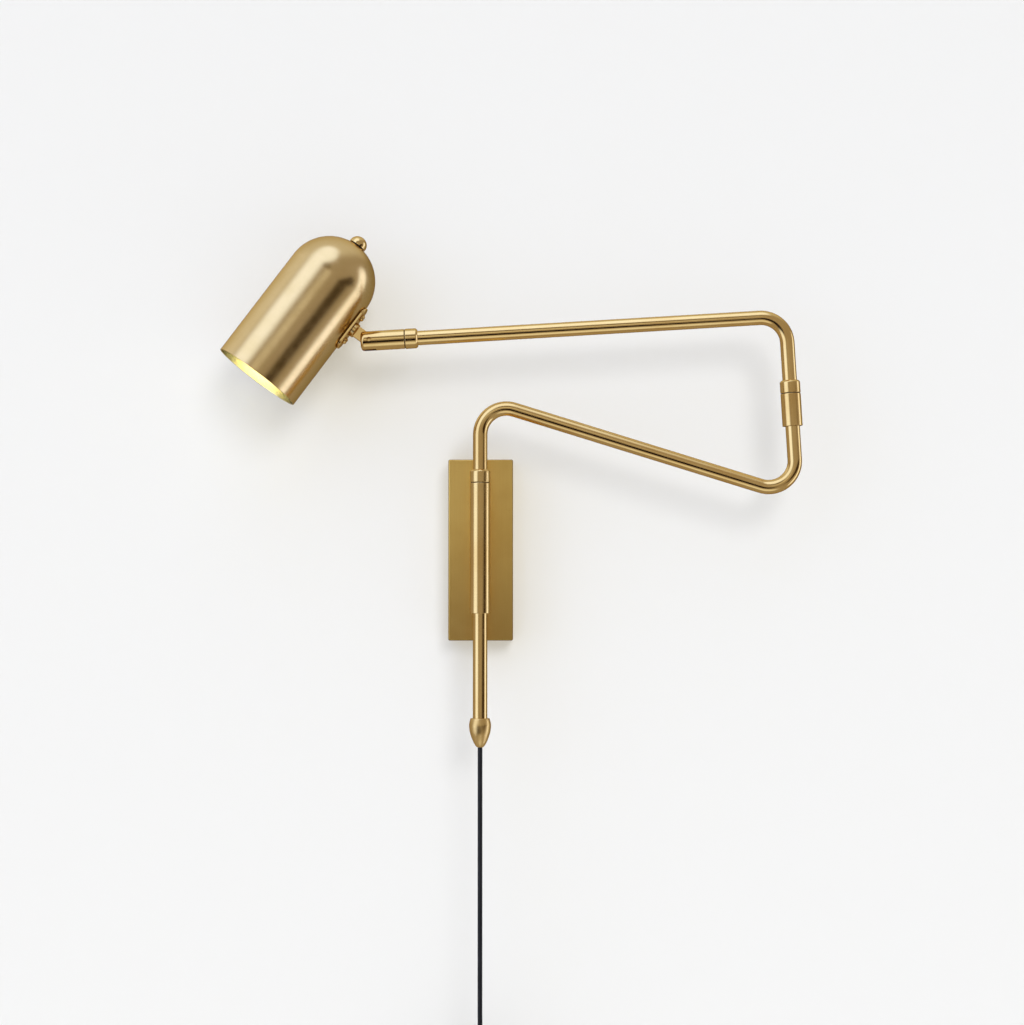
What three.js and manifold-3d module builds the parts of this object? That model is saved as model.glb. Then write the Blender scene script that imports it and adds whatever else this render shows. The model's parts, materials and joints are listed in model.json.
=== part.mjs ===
// A swing arm wall sconce, in millimetres, +Z up.
// The origin is the centre of the wall plate's back, on the wall. The wall is the plane y = 0 and the
// lamp stands out along -Y. Both arms lie parallel to the wall at rest, folded one above the other.

import * as THREE from 'three';
import { mergeVertices } from 'three/addons/utils/BufferGeometryUtils.js';
import Module from 'manifold-3d';

const wasm = await Module();
wasm.setup();

const DEGREE = Math.PI / 180;

// ---------- driving dimensions ----------

// wall plate and mounting bar
const PLATE_WIDTH = 57.6;
const PLATE_HEIGHT = 161;
const PLATE_DEPTH = 26;
const PLATE_WALL = 1.5;
const PLATE_BEVEL = 1.4;
const BAR_WIDTH = 34;
const BAR_THICK = 2;
const BAR_EAR = 13;
const WALL_HOLE_Z = 45;
const COVER_SCREW_R = 1.7;
const COVER_SCREW_LONG = 7;

// arm plane, arm lines and bends
const ARM_Y = -57;
const TUBE_R = 6.35;
const TUBE_BORE_R = 5.15;
const BEND_R = 23;
const WALL_CORNER_Z = 131.75;
const LOWER_ARM_FALL = 17.2 * DEGREE;
const ARM_LEAN = 3.4 * DEGREE; // the elbow axis leans by this, and the upper arm falls by it
const ELBOW_SEAM_X = 272.44;
const ELBOW_SEAM_Z = 136.7;
const PIVOT_X = -97.4;
const PIVOT_Z = 183;

// turned joint parts, shared by the wall pivot, the elbow and the head
const SLEEVE_R = 8.85;
const SLEEVE_BORE_R = 7.6;
const SLEEVE_CHAMFER = 0.5;
const COLLAR_SHOULDER = 1.5;
const COLLAR_LONG = 11.1;
const SOCKET_R = 6.5; // the bore that a tube's end sits in
const BUSH_R = 7.45;
const BUSH_BORE_R = 6.05;
const BUSH_LONG = 14;
const SPIGOT_R = 5.9;
const SPIGOT_BORE_R = 4;
const SET_SCREW_R = 1.4;
const GAP = 0.3; // between pieces that touch
const WASHER_THICK = 0.3;
const WASHER_R = 8.3;
const SEAM_GAP = 0.15; // on either side of a washer, in the seam between a sleeve and its collar

// wall pivot
const WALL_SLEEVE_TOP = 58.2;
const WALL_SLEEVE_BOTTOM = -56.1;
const POST_Z = 36;
const POST_R = 5.5;
const POST_HOLE_R = 2.2;
const POST_SCREW_R = 1.9;
const POST_SCREW_HEAD_R = 4;
const POST_SCREW_CROWN_R = 3.4;
const POST_SCREW_HEAD = 2.6;
const POST_SCREW_LONG = 12;

// acorn cap at the foot of the lower tube
const ACORN_TOP = -147.7;
const ACORN_LONG = 25.1;
const ACORN_SOCKET = 15;
const CORD_HOLE_R = 2.45;
const TUBE_IN_CAP = 10;

// elbow
const ELBOW_SLEEVE_LONG = 28.7;
const ELBOW_SOCKET = 10.5;

// head swivel
const HEAD_SEAM = 30.9; // from the tilt pivot back along the arm
const SWIVEL_R = 8.67;
const SWIVEL_END = 7.6;
const SWIVEL_ROUND = 3.4;
const HEAD_ROLL = 6.2 * DEGREE;
const HEAD_TILT = 39.7 * DEGREE;
const SLOT_HALF = 3.1;
const SLOT_DEPTH = 5.7;
const TONGUE_HALF = 2.1;
const TONGUE_R = 5.2;
const PIN_R = 1.9;
const KNUCKLE_RING_R = 6.6;
const KNUCKLE_RING = 3.2;

// shade, measured in the head's own frame: the tilt pivot is its origin and the shade's axis is along Z
const SHADE_R = 40;
const SHADE_SHEET = 1;
const SHADE_BARREL = 106.5;
const SHADE_OFFSET = 60.2; // from the tilt pivot to the shade's axis
const SHADE_RIM = -84.2;
const BRACKET_LONG = 43.6;
const BRACKET_WIDTH = 14;
const BRACKET_THICK = 1.9;
const BRACKET_SCREW_Z = 12.5;
const BRACKET_SCREW_R = 1.6;
const BRACKET_SCREW_TIP = 7; // below the bracket's back
const BRACKET_HEAD_R = 3.1;
const BRACKET_HEAD_CROWN_R = 2.3;
const BRACKET_HEAD = 2.3;
const BRACKET_HEAD_SIDE = 1;
const BRACKET_NUT = 2.4;
const BRACKET_NUT_R = 3.4;

// lamp socket, bulb and switch
const SOCKET_BODY_R = 16.5;
const SOCKET_TOP = 50;
const SOCKET_FOOT = -1;
const SOCKET_SLOPE = 3; // the chamfer round the socket's top
const SOCKET_CAVITY_R = 13.6;
const SOCKET_CAVITY_DEEP = 31;
const SOCKET_ROOF = 6;
const NECK_R = 4.5;
const NECK_OUT = 1.3; // how far the neck stands out of the dome
const SPACER_R = 9;
const SWITCH_NUT_R = 6.4;
const SWITCH_NUT = 0.9;
const SHAFT_R = 2.4;
const KNOB_R = 8;
const KNOB_TALL = 8.4;
const KNOB_SIDE = 1; // the upright part of the knob, under its dome
const KNOB_RECESS_R = 6.9; // the hollow foot, which clears the nut
const KNOB_BORE = 3.6; // how far the shaft goes into the knob

// bulb
const BULB_BASE_R = 12.8;
const BULB_BASE_LONG = 23;
const BULB_CONTACT_R = 5;
const BULB_CONTACT = 1;
const BULB_SHOULDER = 5;
const BULB_IN_SOCKET = 4; // from the socket's foot to the glass
const BULB_NECK = 8;
const BULB_R = 22.5;
const BULB_TIP = -64;

// cord, coil and plug
const CORD_R = 2.1;
const CORD_PITCH = 4.6; // between neighbouring turns
const COIL_INNER_R = 17; // centreline radius of the innermost turn
const COIL_LAPS = 10.25;
const COIL_LAYERS = 4; // the turns run in, out, in and out again, a layer each
const COIL_Z = -468;
const PLUG_Z = -544.7; // where the cord enters the plug
const TIE_WIDE = 9;
const TIE_THICK = 1.2;
const RELIEF_LONG = 20;
const PLUG_WIDTH = 24;
const PLUG_THICK = 15;
const PLUG_TALL = 26;
const BLADE_SPACING = 12.7;
const BLADE_WIDE = 6.35;
const BLADE_THICK = 1.5;
const BLADE_LONG = 15.9;
const BLADE_ROOT = 6;
const PLUG_CORNER = 4;
const RELIEF_FOOT_R = 5.2;
const RELIEF_TIP_R = 3.2;

// facets
const ROUND_SIDES = 24;
const TUBE_SIDES = 16;
const SMALL_SIDES = 12;
const BEND_STEPS = 7;

const OVERCUT = 1; // how far a cutting tool runs past what it cuts

// ---------- materials ----------

const finish = (color, roughness, metalness) =>
  new THREE.MeshStandardMaterial({ color, roughness, metalness });

const POLISHED_BRASS = finish(0xc79a4b, 0.22, 1);
const SATIN_BRASS = finish(0xb99a62, 0.38, 1);
const PLATE_BRASS = finish(0xa88142, 0.42, 1);
const ZINC_STEEL = finish(0xa9adb0, 0.45, 1);
const BLACK_NYLON = finish(0x24211f, 0.55, 0);
const BLACK_CORD = finish(0x141414, 0.6, 0);
const BLACK_PLASTIC = finish(0x1a1a1a, 0.5, 0);
const PHENOLIC = finish(0x241c18, 0.45, 0);
const BULB_GLASS = finish(0xfff3d6, 0.3, 0);

// ---------- shape helpers ----------

// A closed outline of [radius, height] pairs turned about Z, wound so that its faces point out.
function revolve(outline, sides = ROUND_SIDES) {
  const points = outline.map(([r, z]) => new THREE.Vector2(r, z));
  if (THREE.ShapeUtils.area(points) < 0) points.reverse();
  points.push(points[0].clone());
  return new THREE.LatheGeometry(points, sides).rotateX(Math.PI / 2);
}

// Points on an arc in the [radius, height] plane.
function arc(r, z, radius, from, to, steps) {
  const points = [];
  for (let i = 0; i <= steps; i += 1) {
    const angle = from + ((to - from) * i) / steps;
    points.push([r + radius * Math.cos(angle), z + radius * Math.sin(angle)]);
  }
  return points;
}

function cylinder(radius, from, to, sides = SMALL_SIDES) {
  return revolve([[0, from], [radius, from], [radius, to], [0, to]], sides);
}

function ring(inner, outer, from, to, sides = ROUND_SIDES) {
  return revolve([[inner, from], [outer, from], [outer, to], [inner, to]], sides);
}

function hexNut(bore, cornerR, from, to) {
  return cut(cylinder(cornerR, from, to, 6), cylinder(bore, from - OVERCUT, to + OVERCUT));
}

// A ring with both outer edges chamfered.
function chamferedRing(inner, outer, from, to, low, high) {
  return revolve([
    [inner, from],
    [outer - low, from],
    [outer, from + low],
    [outer, to - high],
    [outer - high, to],
    [inner, to],
  ]);
}

// A block from its lowest to its highest corner.
function block(low, high) {
  const size = high.map((value, i) => value - low[i]);
  const middle = high.map((value, i) => (value + low[i]) / 2);
  return new THREE.BoxGeometry(...size).translate(...middle);
}

const alongX = (geometry) => geometry.rotateY(Math.PI / 2); // turns Z to +X
const alongY = (geometry) => geometry.rotateX(-Math.PI / 2); // turns Z to +Y

function toSolid(geometry) {
  const bare = geometry.clone();
  bare.deleteAttribute('normal');
  bare.deleteAttribute('uv');
  const merged = mergeVertices(bare, 1e-4);
  return new wasm.Manifold(new wasm.Mesh({
    numProp: 3,
    vertProperties: new Float32Array(merged.attributes.position.array),
    triVerts: new Uint32Array(merged.index.array),
  }));
}

function toGeometry(solid) {
  const mesh = solid.getMesh();
  const geometry = new THREE.BufferGeometry();
  geometry.setAttribute('position', new THREE.BufferAttribute(mesh.vertProperties, 3));
  geometry.setIndex(new THREE.BufferAttribute(mesh.triVerts, 1));
  geometry.computeVertexNormals();
  return geometry;
}

function cut(geometry, ...tools) {
  return toGeometry(tools.reduce((solid, tool) => solid.subtract(toSolid(tool)), toSolid(geometry)));
}

function join(...geometries) {
  return toGeometry(geometries.map(toSolid).reduce((whole, next) => whole.add(next)));
}

// A line of points with each corner rounded. It is sampled only where it bends.
class BentPath extends THREE.Curve {
  constructor(corners, radius) {
    super();
    this.stations = [];
    this.add(corners[0], corners[1].clone().sub(corners[0]).normalize());
    for (let i = 1; i < corners.length - 1; i += 1) {
      this.bend(corners[i - 1], corners[i], corners[i + 1], radius);
    }
    const [before, end] = corners.slice(-2);
    this.add(end, end.clone().sub(before).normalize());
  }

  add(point, tangent) {
    this.stations.push({ point: point.clone(), tangent: tangent.clone() });
  }

  bend(before, corner, after, radius) {
    const into = corner.clone().sub(before).normalize();
    const out = after.clone().sub(corner).normalize();
    const turn = into.angleTo(out);
    const start = corner.clone().addScaledVector(into, -radius * Math.tan(turn / 2));
    const inward = out.clone().addScaledVector(into, -out.dot(into)).normalize();
    const centre = start.clone().addScaledVector(inward, radius);
    for (let i = 0; i <= BEND_STEPS; i += 1) {
      const angle = (turn * i) / BEND_STEPS;
      const point = centre.clone()
        .addScaledVector(inward, -radius * Math.cos(angle))
        .addScaledVector(into, radius * Math.sin(angle));
      const tangent = into.clone().multiplyScalar(Math.cos(angle)).addScaledVector(inward, Math.sin(angle));
      this.add(point, tangent);
    }
  }

  get steps() {
    return this.stations.length - 1;
  }

  station(t) {
    return this.stations[Math.round(t * this.steps)];
  }

  getPointAt(t) {
    return this.station(t).point.clone();
  }

  getTangentAt(t) {
    return this.station(t).tangent.clone();
  }
}

function circleShape(radius) {
  const shape = new THREE.Shape();
  shape.absarc(0, 0, radius, 0, 2 * Math.PI);
  return shape;
}

// A round bar, or a tube if it has a bore, along a bent path.
function sweep(corners, radius, bore, sides) {
  const shape = circleShape(radius);
  if (bore) shape.holes.push(circleShape(bore));
  const path = new BentPath(corners, BEND_R);
  const options = { steps: path.steps, extrudePath: path, curveSegments: sides / 2 };
  return new THREE.ExtrudeGeometry(shape, options);
}

// A rectangle with round ends, its straight sides along Y.
function stadium(halfWidth, straight) {
  const shape = new THREE.Shape();
  shape.absarc(0, straight / 2, halfWidth, 0, Math.PI);
  shape.absarc(0, -straight / 2, halfWidth, Math.PI, 2 * Math.PI);
  return shape;
}

// ---------- places ----------

const armPoint = (x, z) => new THREE.Vector3(x, ARM_Y, z);
const elbowAxis = armPoint(-Math.sin(ARM_LEAN), Math.cos(ARM_LEAN)).setY(0);
const upperLine = armPoint(Math.cos(ARM_LEAN), Math.sin(ARM_LEAN)).setY(0);
const lowerLine = armPoint(Math.cos(LOWER_ARM_FALL), -Math.sin(LOWER_ARM_FALL)).setY(0);
const wallCorner = armPoint(0, WALL_CORNER_Z);
const elbowSeam = armPoint(ELBOW_SEAM_X, ELBOW_SEAM_Z);
const pivot = armPoint(PIVOT_X, PIVOT_Z);
const headSeam = pivot.clone().addScaledVector(upperLine, HEAD_SEAM);

// Where two lines in the arm plane cross.
function crossing(a, alongA, b, alongB) {
  const between = b.clone().sub(a);
  const t = (between.x * alongB.z - between.z * alongB.x) / (alongA.x * alongB.z - alongA.z * alongB.x);
  return a.clone().addScaledVector(alongA, t);
}

const lowCorner = crossing(wallCorner, lowerLine, elbowSeam, elbowAxis);
const highCorner = crossing(pivot, upperLine, elbowSeam, elbowAxis);
const onElbow = (s) => elbowSeam.clone().addScaledVector(elbowAxis, s);
const onUpperArm = (s) => pivot.clone().addScaledVector(upperLine, s);

const sconce = new THREE.Group();

function place(parent, name, geometry, material) {
  const mesh = new THREE.Mesh(geometry, material);
  mesh.name = name;
  parent.add(mesh);
}

// ---------- wall plate and mounting bar ----------

function wallPlate() {
  const face = new THREE.Shape();
  const halfWidth = PLATE_WIDTH / 2 - PLATE_BEVEL;
  const halfHeight = PLATE_HEIGHT / 2 - PLATE_BEVEL;
  face.moveTo(-halfWidth, -halfHeight);
  face.lineTo(halfWidth, -halfHeight);
  face.lineTo(halfWidth, halfHeight);
  face.lineTo(-halfWidth, halfHeight);
  const outer = new THREE.ExtrudeGeometry(face, {
    depth: PLATE_DEPTH - PLATE_BEVEL,
    bevelThickness: PLATE_BEVEL,
    bevelSize: PLATE_BEVEL,
    bevelSegments: 1,
  }).rotateX(Math.PI / 2);
  const behind = block([-PLATE_WIDTH, 0, -PLATE_HEIGHT], [PLATE_WIDTH, PLATE_DEPTH, PLATE_HEIGHT]);
  const inX = PLATE_WIDTH / 2 - PLATE_WALL;
  const inZ = PLATE_HEIGHT / 2 - PLATE_WALL;
  const hollow = block([-inX, PLATE_WALL - PLATE_DEPTH, -inZ], [inX, PLATE_WALL, inZ]);
  const postHoles = [-POST_Z, POST_Z].map((z) =>
    alongY(cylinder(POST_HOLE_R, -PLATE_DEPTH - OVERCUT, 0)).translate(0, 0, z));
  const screwHole = cylinder(COVER_SCREW_R + GAP, -PLATE_HEIGHT, PLATE_HEIGHT).translate(0, coverScrewY, 0);
  return cut(outer, behind, hollow, ...postHoles, screwHole);
}

const coverScrewY = -(BAR_EAR + BAR_THICK) / 2;
const barTop = PLATE_HEIGHT / 2 - PLATE_WALL - GAP;

function mountingBar() {
  const side = new THREE.Shape();
  side.moveTo(0, -barTop);
  side.lineTo(0, barTop);
  side.lineTo(-BAR_EAR, barTop);
  side.lineTo(-BAR_EAR, barTop - BAR_THICK);
  side.lineTo(-BAR_THICK, barTop - BAR_THICK);
  side.lineTo(-BAR_THICK, BAR_THICK - barTop);
  side.lineTo(-BAR_EAR, BAR_THICK - barTop);
  side.lineTo(-BAR_EAR, -barTop);
  const bar = new THREE.ExtrudeGeometry(side, { depth: BAR_WIDTH, bevelEnabled: false });
  bar.translate(0, 0, -BAR_WIDTH / 2);
  bar.rotateX(Math.PI / 2).rotateZ(Math.PI / 2);
  const wallHoles = [-WALL_HOLE_Z, WALL_HOLE_Z].map((z) =>
    alongY(cylinder(POST_HOLE_R, -BAR_EAR, BAR_EAR)).translate(0, 0, z));
  const screwHole = cylinder(COVER_SCREW_R + GAP, -PLATE_HEIGHT, PLATE_HEIGHT).translate(0, coverScrewY, 0);
  return cut(bar, ...wallHoles, screwHole);
}

function coverScrew(side) {
  const outerEnd = PLATE_HEIGHT / 2 - GAP;
  const screw = cylinder(COVER_SCREW_R, outerEnd - COVER_SCREW_LONG, outerEnd);
  if (side < 0) screw.rotateX(Math.PI);
  return screw.translate(0, coverScrewY, 0);
}

place(sconce, 'wall_plate', wallPlate(), PLATE_BRASS);
place(sconce, 'mounting_bar', mountingBar(), ZINC_STEEL);
place(sconce, 'cover_screw_top', coverScrew(1), ZINC_STEEL);
place(sconce, 'cover_screw_bottom', coverScrew(-1), ZINC_STEEL);

// ---------- wall pivot: posts, sleeve and bushes ----------

const plateFront = -PLATE_DEPTH - GAP;

function pivotPost(z) {
  const post = alongY(cylinder(POST_R, ARM_Y, plateFront, TUBE_SIDES));
  const sleeveRoom = cylinder(SLEEVE_R + GAP, -POST_Z, POST_Z, ROUND_SIDES).translate(0, ARM_Y, 0);
  const screwRoom = alongY(cylinder(POST_HOLE_R, plateFront - POST_SCREW_LONG, 0));
  return cut(post, sleeveRoom, screwRoom).translate(0, 0, z);
}

function postScrew(z) {
  const underHead = PLATE_WALL - PLATE_DEPTH + GAP;
  const tip = underHead - POST_SCREW_LONG;
  return alongY(revolve([
    [0, tip],
    [POST_SCREW_R, tip],
    [POST_SCREW_R, underHead],
    [POST_SCREW_HEAD_R, underHead],
    [POST_SCREW_CROWN_R, underHead + POST_SCREW_HEAD],
    [0, underHead + POST_SCREW_HEAD],
  ], SMALL_SIDES)).translate(0, 0, z);
}

for (const [where, z] of [['upper', POST_Z], ['lower', -POST_Z]]) {
  place(sconce, `pivot_post_${where}`, pivotPost(z), POLISHED_BRASS);
  place(sconce, `post_screw_${where}`, postScrew(z), ZINC_STEEL);
}

const wallPivot = new THREE.Group();
wallPivot.position.y = ARM_Y;
sconce.add(wallPivot);

const wallBushes = [
  ['wall_bush_upper', WALL_SLEEVE_TOP - GAP - BUSH_LONG],
  ['wall_bush_lower', WALL_SLEEVE_BOTTOM + GAP],
];
for (const [name, foot] of wallBushes) {
  place(wallPivot, name, ring(SOCKET_R, BUSH_R, foot, foot + BUSH_LONG), BLACK_NYLON);
}
place(wallPivot, 'pivot_sleeve', chamferedRing(
  SLEEVE_BORE_R, SLEEVE_R, WALL_SLEEVE_BOTTOM, WALL_SLEEVE_TOP, SLEEVE_CHAMFER, SLEEVE_CHAMFER,
), POLISHED_BRASS);

// The washer in the seam above a sleeve's end.
const seamOpen = WASHER_THICK + 2 * SEAM_GAP;
const washer = (end, bore) => ring(bore, WASHER_R, end + SEAM_GAP, end + SEAM_GAP + WASHER_THICK);

place(wallPivot, 'wall_washer', washer(WALL_SLEEVE_TOP, SOCKET_R), BLACK_NYLON);

// ---------- lower arm ----------

const SET_SCREW_UP = COLLAR_LONG / 2 + 1; // from the collar's foot

function setScrew(collarFoot) {
  const screw = alongY(cylinder(SET_SCREW_R, TUBE_R + GAP, SLEEVE_R - GAP));
  return screw.translate(0, 0, collarFoot + SET_SCREW_UP);
}

// A collar that holds a tube's end, with the hole for its set screw on the wall side. Its bore may
// start with a narrower step, up to a height above its foot.
function collar(foot, stepBore, stepTall) {
  const top = foot + COLLAR_LONG;
  const body = revolve([
    [stepBore, foot],
    [SLEEVE_R - SLEEVE_CHAMFER, foot],
    [SLEEVE_R, foot + SLEEVE_CHAMFER],
    [SLEEVE_R, top - COLLAR_SHOULDER],
    [SLEEVE_R - COLLAR_SHOULDER, top],
    [SOCKET_R, top],
    [SOCKET_R, foot + stepTall],
    [stepBore, foot + stepTall],
  ]);
  const hole = alongY(cylinder(SET_SCREW_R + GAP, TUBE_R, 2 * SLEEVE_R));
  return cut(body, hole.translate(0, 0, foot + SET_SCREW_UP));
}

const lowerTubeFoot = ACORN_TOP - TUBE_IN_CAP;
const lowerRoute = (foot, elbowEnd) => [armPoint(0, foot), wallCorner, lowCorner, onElbow(elbowEnd)];
const lowerTubeEnd = ELBOW_SOCKET - ELBOW_SLEEVE_LONG - GAP;

place(sconce, 'lower_arm_tube', sweep(
  lowerRoute(lowerTubeFoot, lowerTubeEnd), TUBE_R, TUBE_BORE_R, TUBE_SIDES,
), POLISHED_BRASS);
place(sconce, 'lower_arm_wire', sweep(
  lowerRoute(ACORN_TOP - ACORN_LONG + GAP, -GAP), CORD_R, 0, 8,
), BLACK_CORD);

const WALL_COLLAR_BORE_R = 6.45; // the tube passes right through this collar
const WALL_COLLAR_STEP = 1;
const wallCollarFoot = WALL_SLEEVE_TOP + seamOpen;
const wallCollar = collar(wallCollarFoot, WALL_COLLAR_BORE_R, WALL_COLLAR_STEP);
place(wallPivot, 'wall_collar', wallCollar, POLISHED_BRASS);
place(wallPivot, 'wall_collar_screw', setScrew(wallCollarFoot), ZINC_STEEL);

// [share of the way down, radius] on the acorn's outside
const ACORN_PROFILE = [[0, 8.3], [0.22, 9.6], [0.52, 8.69], [0.83, 5.76], [1, 2.9]];

function acornCap() {
  const profile = new THREE.SplineCurve(
    ACORN_PROFILE.map(([share, r]) => new THREE.Vector2(r, ACORN_TOP - ACORN_LONG * share)),
  );
  const outside = profile.getPoints(9).map((point) => [point.x, point.y]);
  return revolve([
    [SOCKET_R, ACORN_TOP],
    ...outside,
    [CORD_HOLE_R, ACORN_TOP - ACORN_LONG],
    [CORD_HOLE_R, ACORN_TOP - ACORN_SOCKET],
    [SOCKET_R, ACORN_TOP - ACORN_SOCKET],
  ]);
}

place(wallPivot, 'acorn_cap', acornCap(), POLISHED_BRASS);
place(wallPivot, 'cord_grip', ring(
  CORD_HOLE_R, SOCKET_R - GAP, ACORN_TOP - ACORN_SOCKET + GAP, lowerTubeFoot - GAP, SMALL_SIDES,
), BLACK_NYLON);

// ---------- elbow and head joints ----------
// Each is made along Z from its seam: a sleeve with a bush below, and a collar above that carries the
// spigot. The spigot turns in the bush and is held by a clip under it.

const CLIP_THICK = 1.5;
const CLIP_BORE_R = 5.4;
const SPIGOT_NECK_R = 5.15;
const SPIGOT_FLANGE = 1.2;
const SPIGOT_FLANGE_FOOT = 3.4;
const bushFoot = -GAP - BUSH_LONG;
const clipTop = bushFoot - GAP;
const clipFoot = clipTop - CLIP_THICK;
const spigotFoot = clipFoot - SPIGOT_FLANGE;
const spigotTop = SPIGOT_FLANGE_FOOT + SPIGOT_FLANGE;
const jointSocket = spigotFoot - GAP; // how deep a sleeve is bored for its bush, clip and spigot

function spigot() {
  return revolve([
    [SPIGOT_BORE_R, spigotFoot],
    [SPIGOT_R, spigotFoot],
    [SPIGOT_R, clipFoot - GAP],
    [SPIGOT_NECK_R, clipFoot - GAP],
    [SPIGOT_NECK_R, clipTop + GAP],
    [SPIGOT_R, clipTop + GAP],
    [SPIGOT_R, SPIGOT_FLANGE_FOOT],
    [SOCKET_R - GAP, SPIGOT_FLANGE_FOOT],
    [SOCKET_R - GAP, spigotTop],
    [SPIGOT_BORE_R, spigotTop],
  ]);
}

// The joint's group, with its Z axis in the arm plane at an angle from upright.
function jointFrame(seam, fromUpright) {
  const frame = new THREE.Group();
  frame.position.copy(seam);
  frame.rotation.y = fromUpright;
  sconce.add(frame);
  return frame;
}

function placeJoint(frame, where) {
  place(frame, `${where}_bush`, ring(BUSH_BORE_R, BUSH_R, bushFoot, -GAP), BLACK_NYLON);
  place(frame, `${where}_clip`, ring(CLIP_BORE_R, BUSH_R - GAP, clipFoot, clipTop), ZINC_STEEL);
  place(frame, `${where}_spigot`, spigot(), ZINC_STEEL);
  place(frame, `${where}_washer`, washer(0, SPIGOT_R + GAP), BLACK_NYLON);
  const step = SPIGOT_FLANGE_FOOT - GAP - seamOpen;
  place(frame, `${where}_collar`, collar(seamOpen, SPIGOT_R + GAP / 2, step), POLISHED_BRASS);
  place(frame, `${where}_collar_screw`, setScrew(seamOpen), ZINC_STEEL);
}

const elbow = jointFrame(elbowSeam, -ARM_LEAN);
const headJoint = jointFrame(headSeam, Math.PI / 2 - ARM_LEAN);
placeJoint(elbow, 'elbow');
placeJoint(headJoint, 'head');

place(elbow, 'elbow_sleeve', revolve([
  [SOCKET_R, -ELBOW_SLEEVE_LONG],
  [SLEEVE_R - SLEEVE_CHAMFER, -ELBOW_SLEEVE_LONG],
  [SLEEVE_R, SLEEVE_CHAMFER - ELBOW_SLEEVE_LONG],
  [SLEEVE_R, -SLEEVE_CHAMFER],
  [SLEEVE_R - SLEEVE_CHAMFER, 0],
  [SLEEVE_BORE_R, 0],
  [SLEEVE_BORE_R, jointSocket],
  [SOCKET_R, jointSocket],
]), POLISHED_BRASS);

// ---------- upper arm ----------

const upperRoute = (elbowEnd, headEnd) => [onElbow(elbowEnd), highCorner, onUpperArm(headEnd)];
const tubeInCollar = spigotTop + GAP;

place(sconce, 'upper_arm_tube', sweep(
  upperRoute(tubeInCollar, HEAD_SEAM + tubeInCollar), TUBE_R, TUBE_BORE_R, TUBE_SIDES,
), POLISHED_BRASS);
place(sconce, 'upper_arm_wire', sweep(
  upperRoute(GAP, SLOT_DEPTH + GAP), CORD_R, 0, 8,
), BLACK_CORD);

// ---------- head: a fork that rolls on the arm, and a knuckle that tilts in it ----------

const head = new THREE.Group();
head.position.copy(pivot);
head.rotation.y = -ARM_LEAN;
sconce.add(head);
const roll = new THREE.Group();
roll.rotation.x = -HEAD_ROLL;
head.add(roll);
const tilt = new THREE.Group();
tilt.rotation.y = HEAD_TILT;
roll.add(tilt);

const SCREW_HEAD_R = 3.2;
const screwSeat = SWIVEL_R - 2.6;

function swivelFork() {
  const end = -SWIVEL_END;
  const body = alongX(revolve([
    [0, end],
    ...arc(SWIVEL_R - SWIVEL_ROUND, end + SWIVEL_ROUND, SWIVEL_ROUND, -Math.PI / 2, 0, 5),
    [SWIVEL_R, HEAD_SEAM - SLEEVE_CHAMFER],
    [SWIVEL_R - SLEEVE_CHAMFER, HEAD_SEAM],
    [SLEEVE_BORE_R, HEAD_SEAM],
    [SLEEVE_BORE_R, HEAD_SEAM + jointSocket],
    [CORD_HOLE_R, HEAD_SEAM + jointSocket],
    [CORD_HOLE_R, 0],
    [0, 0],
  ]));
  const slot = block([-2 * SWIVEL_END, -SLOT_HALF, -2 * SWIVEL_R], [SLOT_DEPTH, SLOT_HALF, 2 * SWIVEL_R]);
  const pinHole = alongY(cylinder(PIN_R + GAP, -screwSeat - GAP, 2 * SWIVEL_R));
  const headRoom = alongY(cylinder(SCREW_HEAD_R + GAP, screwSeat, 2 * SWIVEL_R));
  return cut(body, slot, pinHole, headRoom);
}

function tiltScrew() {
  return alongY(revolve([
    [0, -screwSeat],
    [PIN_R, -screwSeat],
    [PIN_R, screwSeat + GAP],
    [SCREW_HEAD_R, screwSeat + GAP],
    [SCREW_HEAD_R, SWIVEL_R - GAP],
    [0, SWIVEL_R - GAP],
  ], SMALL_SIDES));
}

function tiltWasher() {
  return ring(PIN_R + GAP, TONGUE_R - GAP, TONGUE_HALF + GAP / 2, SLOT_HALF - GAP, SMALL_SIDES);
}

place(roll, 'swivel_fork', swivelFork(), POLISHED_BRASS);
place(roll, 'tilt_screw', tiltScrew(), ZINC_STEEL);
place(roll, 'tilt_washer_back', alongY(tiltWasher()), BLACK_NYLON);
place(roll, 'tilt_washer_front', alongY(tiltWasher()).rotateX(Math.PI), BLACK_NYLON);

// ---------- bracket between the knuckle and the shade ----------

const bracketBack = SHADE_R - SHADE_OFFSET + GAP;
const bracketFront = bracketBack + BRACKET_THICK;
const ringBack = bracketFront + GAP;
const ringFront = ringBack + KNUCKLE_RING;

function tiltKnuckle() {
  const base = alongX(cylinder(KNUCKLE_RING_R, ringBack, ringFront, TUBE_SIDES));
  const side = new THREE.Shape();
  const root = ringFront - KNUCKLE_RING / 2;
  side.moveTo(root, -TONGUE_R);
  side.absarc(0, 0, TONGUE_R, -Math.PI / 2, Math.PI / 2);
  side.lineTo(root, TONGUE_R);
  const options = { depth: 2 * TONGUE_HALF, bevelEnabled: false, curveSegments: 7 };
  const tongue = new THREE.ExtrudeGeometry(side, options);
  tongue.translate(0, 0, -TONGUE_HALF).rotateX(Math.PI / 2);
  const pinHole = alongY(cylinder(PIN_R + GAP, -SWIVEL_R, SWIVEL_R));
  return cut(join(base, tongue), pinHole);
}

const screwPlaces = [['upper', BRACKET_SCREW_Z], ['lower', -BRACKET_SCREW_Z]];
const screwHoles = () => screwPlaces.map(([, z]) =>
  alongX(cylinder(BRACKET_SCREW_R + GAP, 2 * bracketBack, 0, SMALL_SIDES)).translate(0, 0, z));

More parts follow.
